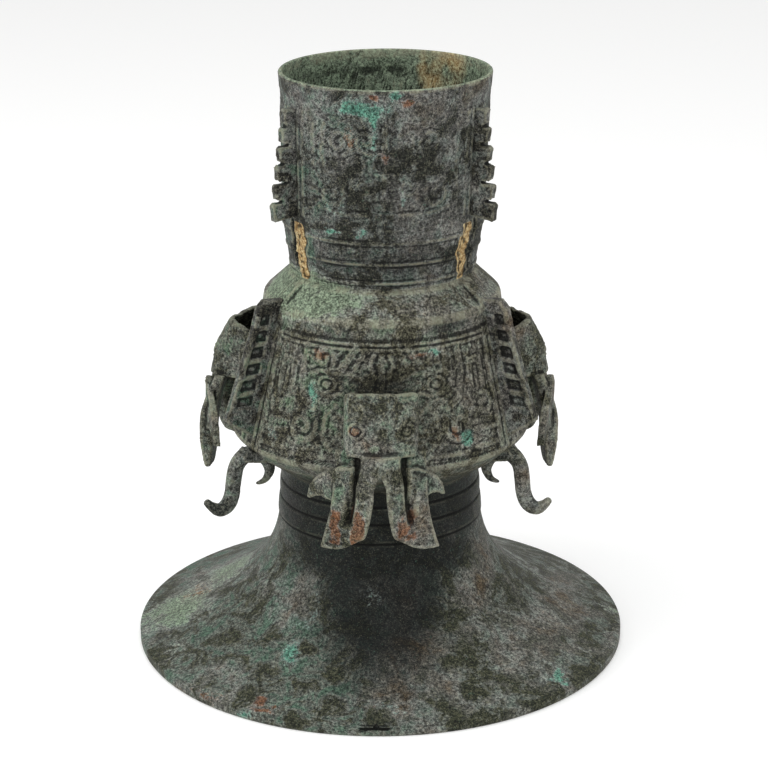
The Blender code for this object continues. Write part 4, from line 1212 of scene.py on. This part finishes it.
class Nodes:
    """Short ways to add nodes to a material."""

    def __init__(self, name):
        self.material = bpy.data.materials.new(name)
        self.material.use_nodes = True
        self.tree = self.material.node_tree
        self.shader = self.tree.nodes["Principled BSDF"]
        self.place = self.tree.nodes.new("ShaderNodeTexCoord").outputs["Object"]

    def link(self, source, target):
        """Link from an output socket to an input socket."""
        self.tree.links.new(source, target)

    def noise(self, scale, detail, roughness=0.6, distortion=0.0):
        """Noise of a scale, as a value."""
        node = self.tree.nodes.new("ShaderNodeTexNoise")
        node.inputs["Scale"].default_value = scale
        node.inputs["Detail"].default_value = detail
        node.inputs["Roughness"].default_value = roughness
        node.inputs["Distortion"].default_value = distortion
        self.link(self.place, node.inputs["Vector"])
        return node.outputs["Fac"]

    def ramp(self, value, stops):
        """Colour ramp through (place, colour) stops."""
        node = self.tree.nodes.new("ShaderNodeValToRGB")
        elements = node.color_ramp.elements
        while len(elements) > 1:
            elements.remove(elements[-1])
        elements[0].position = stops[0][0]
        elements[0].color = stops[0][1]
        for place, colour in stops[1:]:
            element = elements.new(place)
            element.color = colour
        self.link(value, node.inputs["Fac"])
        return node.outputs["Color"]

    def blend(self, factor, first, second, mode="MIX", strength=None):
        """Colour mix by a factor; strength caps it."""
        node = self.tree.nodes.new("ShaderNodeMix")
        node.data_type = "RGBA"
        node.blend_type = mode
        if strength is not None:
            factor = self.times(factor, strength)
        self.link(factor, node.inputs["Factor"])
        for socket, colour in ((node.inputs["A"], first), (node.inputs["B"], second)):
            if isinstance(colour, tuple):
                socket.default_value = colour
            else:
                self.link(colour, socket)
        return [output for output in node.outputs if output.type == "RGBA"][0]

    def math(self, operation, first, second, clamp=False):
        """Sum on two values, each a socket or a number."""
        node = self.tree.nodes.new("ShaderNodeMath")
        node.operation = operation
        node.use_clamp = clamp
        for socket, value in ((node.inputs[0], first), (node.inputs[1], second)):
            if isinstance(value, (int, float)):
                socket.default_value = value
            else:
                self.link(value, socket)
        return node.outputs[0]

    def add(self, first, second):
        """Sum of two values."""
        return self.math("ADD", first, second)

    def times(self, first, second):
        """Product of two values."""
        return self.math("MULTIPLY", first, second)

    def span(self, value, low, high, start=0.0, end=1.0):
        """Value mapped smoothly from one range to another."""
        node = self.tree.nodes.new("ShaderNodeMapRange")
        node.interpolation_type = "SMOOTHSTEP"
        self.link(value, node.inputs["Value"])
        for title, number in (("From Min", low), ("From Max", high), ("To Min", start), ("To Max", end)):
            node.inputs[title].default_value = number
        return node.outputs["Result"]

    def channels(self, title):
        """The three channels of a painted attribute."""
        node = self.tree.nodes.new("ShaderNodeAttribute")
        node.attribute_name = title
        parts = self.tree.nodes.new("ShaderNodeSeparateColor")
        self.link(node.outputs["Color"], parts.inputs["Color"])
        return parts.outputs["Red"], parts.outputs["Green"], parts.outputs["Blue"]

    def value(self, title):
        """A painted attribute of one value."""
        node = self.tree.nodes.new("ShaderNodeAttribute")
        node.attribute_name = title
        return node.outputs["Fac"]


def patina(name):
    """Corroded bronze: speckled ground, green and brown drifts, pale crust, pits and painted patches, with
    painted shade in hollows and a painted highlight on ridges.
    """
    nodes = Nodes(name)
    tones, green, brown, speckle, edge, smooth, rough = PATINAS[name]
    broad = nodes.noise(24.0, 5.0, 0.62, 0.4)
    drift = nodes.noise(58.0, 6.0, 0.70, 0.5)
    medium = nodes.noise(240.0, 5.0, 0.74, 0.3)
    fine = nodes.noise(520.0, 4.0, 0.74)
    grain = nodes.noise(1250.0, 3.0, 0.72)
    crust = nodes.noise(330.0, 6.0, 0.80, 0.4)
    malachite, cuprite, earth = nodes.channels("tint_a")
    shade, pale, warm = nodes.channels("tint_b")
    hollow = nodes.value("hollow")

    mottle = nodes.add(nodes.times(medium, 0.20), nodes.times(fine, 0.50))
    mottle = nodes.add(mottle, nodes.times(grain, 0.30))
    mottle = nodes.add(mottle, nodes.times(nodes.math("SUBTRACT", drift, 0.5), 0.06))
    value = nodes.span(mottle, 0.37, 0.66)
    ground = nodes.ramp(value, [(place, tone(*shown)) for place, shown in zip(GROUND_STOPS, tones)])
    dims = ((0.12, tone(96, 96, 94)), (0.50, tone(186, 186, 186)), (0.85, tone(250, 250, 246)))
    dim = nodes.ramp(value, dims)

    def stain(factor, base, colour, strength):
        """A patch of colour that keeps the ground's light and dark."""
        tinted = nodes.blend(factor, dim, tone(*colour), mode="MULTIPLY", strength=1.0)
        return nodes.blend(factor, base, tinted, strength=strength)

    greening = nodes.math("SUBTRACT", nodes.span(drift, 0.42, 0.62), nodes.times(warm, 0.30), clamp=True)
    colour = stain(greening, ground, green, DRIFT_STRENGTH)
    browning = nodes.span(nodes.add(broad, nodes.times(warm, 0.07)), 0.52, 0.76)
    colour = stain(browning, colour, brown, DRIFT_STRENGTH)
    ragged = nodes.times(nodes.math("SUBTRACT", crust, 0.5), 1.5)
    ragged = nodes.add(ragged, nodes.times(nodes.math("SUBTRACT", drift, 0.5), 1.1))
    # Dark patina and painted shade: the shade channel darkens the colour towards tone 18, 21, 22.
    shaded = nodes.add(shade, nodes.times(ragged, nodes.span(shade, 0.02, 0.35)))
    colour = nodes.blend(nodes.span(shaded, 0.12, 1.05), colour, tone(18, 21, 22), strength=0.90)
    # Pale crust and painted light: the pale channel lightens the colour.
    colour = stain(nodes.span(nodes.add(pale, ragged), 0.40, 0.90), colour, (178, 200, 170), 0.78)
    colour = stain(nodes.span(nodes.add(cuprite, ragged), 0.42, 0.74), colour, (160, 104, 70), 0.74)
    colour = nodes.blend(nodes.span(crust, 0.60, 0.70), colour, tone(112, 150, 130), strength=0.42)
    colour = stain(nodes.span(nodes.add(malachite, ragged), 0.42, 0.78), colour, (124, 196, 172), 0.76)
    colour = nodes.blend(nodes.span(grain, 0.58, 0.70), colour, tone(160, 156, 134), strength=speckle)
    colour = nodes.blend(nodes.span(fine, 0.42, 0.33), colour, tone(18, 18, 17), strength=0.50)
    soils = ((0.34, tone(84, 62, 36)), (0.48, tone(166, 134, 86)), (0.62, tone(214, 198, 154)))
    soil = nodes.ramp(fine, soils)
    colour = nodes.blend(nodes.span(earth, 0.22, 0.60), colour, soil)
    # Painted shade: hollows and grooves are darkened towards tone 17, 17, 16.
    colour = nodes.blend(nodes.span(hollow, 0.06, 0.55), colour, tone(17, 17, 16), strength=0.80)
    # Painted highlight: ridges are lightened towards tone 160, 157, 134, broken up by noise.
    kept = nodes.span(nodes.add(drift, ragged), 0.30, 0.72)
    worn = nodes.times(nodes.span(hollow, -0.14, -0.80), kept)
    colour = nodes.blend(worn, colour, tone(160, 157, 134), strength=edge)
    nodes.link(colour, nodes.shader.inputs["Base Color"])

    nodes.link(nodes.span(mottle, 0.38, 0.62, smooth, rough), nodes.shader.inputs["Roughness"])
    nodes.shader.inputs["Metallic"].default_value = 0.0
    nodes.shader.inputs["Specular IOR Level"].default_value = 0.10

    bump = nodes.tree.nodes.new("ShaderNodeBump")
    bump.inputs["Strength"].default_value = 0.70
    bump.inputs["Distance"].default_value = 0.0009
    layers = nodes.add(nodes.times(fine, 0.8), nodes.times(grain, 0.45))
    layers = nodes.add(layers, nodes.times(crust, 0.6))
    nodes.link(layers, bump.inputs["Height"])
    nodes.link(bump.outputs["Normal"], nodes.shader.inputs["Normal"])
    return nodes.material


def lean(item):
    """Move an upright piece to the vessel's slight lean."""
    points = leaned(mesh_arrays(item.data)[0])
    item.data.vertices.foreach_set("co", points.ravel())
    item.data.update()


def dress(item, material, slot_name, *nodes):
    """Material, body and replaced CAD nodes of a piece; slot_name is not used."""
    item.data.materials.clear()
    item.data.materials.append(material)
    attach(item, "root")
    if nodes:
        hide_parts(*nodes)


def tube_soil(points, normals):
    """Earth in the tube's windows, and the tan crust inside the cup on the right."""
    azimuth = np.degrees(np.arctan2(points[:, 0], -points[:, 1])) % 360.0
    fill = window_depth(azimuth, points[:, 2])[1]
    radius = np.hypot(points[:, 0], points[:, 1])
    outside = (normals[:, 0] * points[:, 0] + normals[:, 1] * points[:, 1]) > 0.0
    crust = layered(points, 16.0 * MM, 3, 251)
    inner = (~outside) * ease(0.005, 0.045, points[:, 0] + crust * 0.02) * ease(0.020, 0.055, points[:, 1])
    return np.where(outside & (radius > 0.060), fill, inner * 0.44 * (0.8 + crust * 0.9))


def tube_shade(points, normals):
    """Painted shade: black in the slots beside the earth."""
    azimuth = np.degrees(np.arctan2(points[:, 0], -points[:, 1])) % 360.0
    outside = (normals[:, 0] * points[:, 0] + normals[:, 1] * points[:, 1]) > 0.0
    return window_depth(azimuth, points[:, 2])[2] * 1.4 * outside


def rim_pale_and_cup_light(points, normals):
    """Paler on the cup's top edge, and pale crust inside the cup that is partly painted light, lightening the
    inside where little light reaches.
    """
    inside = (normals[:, 0] * points[:, 0] + normals[:, 1] * points[:, 1]) < 0.0
    crust = inside * (1.5 + 0.8 * layered(points, 14.0 * MM, 3, 253)) * ease(0.28, 0.36, points[:, 2])
    return np.maximum(ease(RIM - 0.0012, RIM - 0.0003, points[:, 2]) * 1.3, crust)


def lip_slit_shade(points, normals):
    """Painted shade: black in the slit through the front of the lip."""
    side = points[:, 0] - SLIT_MIDDLE
    near = (np.abs(side) < SLIT_HALF_WIDTH) & (points[:, 1] < 0.0)
    near = near & (np.abs(points[:, 2] - SLIT_HEIGHT) < 0.0024)
    return near * (np.hypot(points[:, 0], points[:, 1]) < FOOT_RADIUS - 0.0012) * 1.5


def horn_rust(azimuth):
    """Orange cuprite in the dished lower ends of a mask's horns and on one eye."""
    out = np.array(direction(azimuth))
    across = np.array(direction(azimuth + 90.0))

    def rust(points, normals):
        side = points @ across
        low = ease(0.162, 0.140, points[:, 2]) * ease(0.1175, 0.1215, points[:, 2])
        face = ease(0.35, 0.7, normals @ out)
        inner = np.exp(-((side + 0.0150) / 0.0054) ** 4)
        outer = 0.62 * np.exp(-((side + 0.0300) / 0.0050) ** 4)
        right = 0.86 * np.exp(-((side - 0.0185) / 0.0078) ** 4) * ease(0.120, 0.128, points[:, 2])
        patch = low * face * np.maximum(np.maximum(inner, outer), right)
        patch = patch * (1.15 + 1.1 * layered(points, 8.0 * MM, 3, 261))
        spot = np.exp(-(((side + 0.0165) / 0.0046) ** 2 + ((points[:, 2] - 0.2003) / 0.0036) ** 2))
        return np.maximum(patch, spot * 1.1 * face)

    return rust


def mask_crust(points, normals):
    """Cream crust low on the front mask's block and pale corrosion along the horns' lower rims."""
    blotch = np.exp(-(((points[:, 0] + 0.0035) / 0.0052) ** 2 + ((points[:, 2] - 0.1885) / 0.0048) ** 2))
    ragged = 0.75 + 0.9 * layered(points, 5.0 * MM, 3, 271)
    rims = ease(0.1235, 0.1185, points[:, 2]) * 0.55
    return np.maximum(blotch * 1.15, rims) * ragged * (points[:, 1] < -0.09)


def build_vessel():
    """The body's pieces, dressed."""
    flange_patina = patina("flange_patina")
    tube = tube_piece()
    paint(tube, earth=tube_soil, dark=tube_shade, pale=rim_pale_and_cup_light)
    dress(tube, patina("tube_patina"), "body_bronze", "cup")
    belly = belly_piece()
    paint(belly)
    dress(belly, patina("belly_patina"), "body_bronze", "belly")
    foot = foot_piece()
    paint(foot, dark=lip_slit_shade)
    dress(foot, patina("foot_patina"), "body_bronze", "neck", "foot")
    for side, azimuth in zip(FLANGE_NAMES, FLANGE_AZIMUTHS):
        for item in (
            ladder_flange("ladder_flange_" + side, azimuth),
            toothed_flange("toothed_flange_" + side, azimuth),
        ):
            lean(item)
            paint(item, patched=False)
            dress(item, flange_patina, "body_bronze")


def build_masks():
    """The three masks, dressed."""
    material = patina("mask_patina")
    for index, (name, azimuth) in enumerate(MASK_AZIMUTHS.items()):
        item = mask_piece(name, azimuth, index)
        lean(item)
        paint(item, rust=horn_rust(azimuth), pale=mask_crust, patched=False)
        dress(item, material, "mask_bronze", name)


def build_trunks():
    """The three trunks, dressed."""
    material = patina("trunk_patina")
    for index, (name, azimuth) in enumerate(TRUNK_AZIMUTHS.items()):
        item = trunk_piece(name, azimuth, index)
        lean(item)
        paint(item, patched=False)
        dress(item, material, "trunk_bronze", name)


# Stage

PHOTO_PIXELS = 768.0
FOCAL_PIXELS = 2300.0
SENSOR_WIDTH = 36.0
CAMERA_PLACE = (0.0033, -1.568, 0.734)
CAMERA_PITCH = 0.3339
CAMERA_ROLL = -0.0035
LIGHT_TARGET = (0.0, 0.0, 0.22)
WORLD_STRENGTH = 0.70
FLOOR_SIZE = 60.0
FLOOR_GLOW = 0.16

# Soft boxes: name, place, width, power and colour
LIGHTS = (
    ("key", (-2.0, -0.7, 1.7), 1.5, 20.0, (1.0, 0.99, 0.97)),
    ("fill", (2.0, -0.6, 1.4), 1.5, 4.0, (1.0, 0.98, 0.95)),
    ("top", (0.0, -0.5, 2.6), 2.0, 22.0, (0.97, 0.99, 1.0)),
)


def build_floor():
    """Plain pale floor."""
    builder = bmesh.new()
    bmesh.ops.create_grid(builder, x_segments=1, y_segments=1, size=FLOOR_SIZE)
    mesh = bpy.data.meshes.new("floor")
    builder.to_mesh(mesh)
    builder.free()
    item = bpy.data.objects.new("floor", mesh)
    item.location.z = -0.0002
    bpy.context.scene.collection.objects.link(item)
    material = bpy.data.materials.new("floor")
    material.use_nodes = True
    shader = material.node_tree.nodes["Principled BSDF"]
    shader.inputs["Base Color"].default_value = (0.93, 0.93, 0.925, 1.0)
    shader.inputs["Roughness"].default_value = 0.9
    shader.inputs["Specular IOR Level"].default_value = 0.1
    shader.inputs["Emission Color"].default_value = (1.0, 1.0, 1.0, 1.0)
    shader.inputs["Emission Strength"].default_value = FLOOR_GLOW
    mesh.materials.append(material)


def soft_light(name, place, width, power, colour):
    """Square soft box aimed at the middle of the object."""
    lamp = bpy.data.lights.new(name, "AREA")
    lamp.size = width
    lamp.energy = power
    lamp.color = colour
    item = bpy.data.objects.new(name, lamp)
    item.location = place
    item.rotation_euler = (Vector(LIGHT_TARGET) - Vector(place)).to_track_quat("-Z", "Y").to_euler()
    bpy.context.scene.collection.objects.link(item)


def build_stage():
    """Floor, soft studio light and the photograph's camera."""
    build_floor()
    for light in LIGHTS:
        soft_light(*light)
    world = bpy.data.worlds.new("studio")
    world.use_nodes = True
    background = world.node_tree.nodes["Background"]
    background.inputs["Color"].default_value = (1.0, 1.0, 1.0, 1.0)
    background.inputs["Strength"].default_value = WORLD_STRENGTH
    scene = bpy.context.scene
    scene.world = world
    scene.view_settings.view_transform = "Standard"
    lens = bpy.data.cameras.new("camera")
    lens.sensor_width = SENSOR_WIDTH
    lens.lens = FOCAL_PIXELS / PHOTO_PIXELS * SENSOR_WIDTH
    camera = bpy.data.objects.new("camera", lens)
    turn = Matrix.Rotation(math.pi / 2 - CAMERA_PITCH, 4, "X") @ Matrix.Rotation(CAMERA_ROLL, 4, "Z")
    camera.matrix_world = Matrix.Translation(CAMERA_PLACE) @ turn
    scene.collection.objects.link(camera)
    scene.camera = camera


build_vessel()
build_masks()
build_trunks()
build_stage()
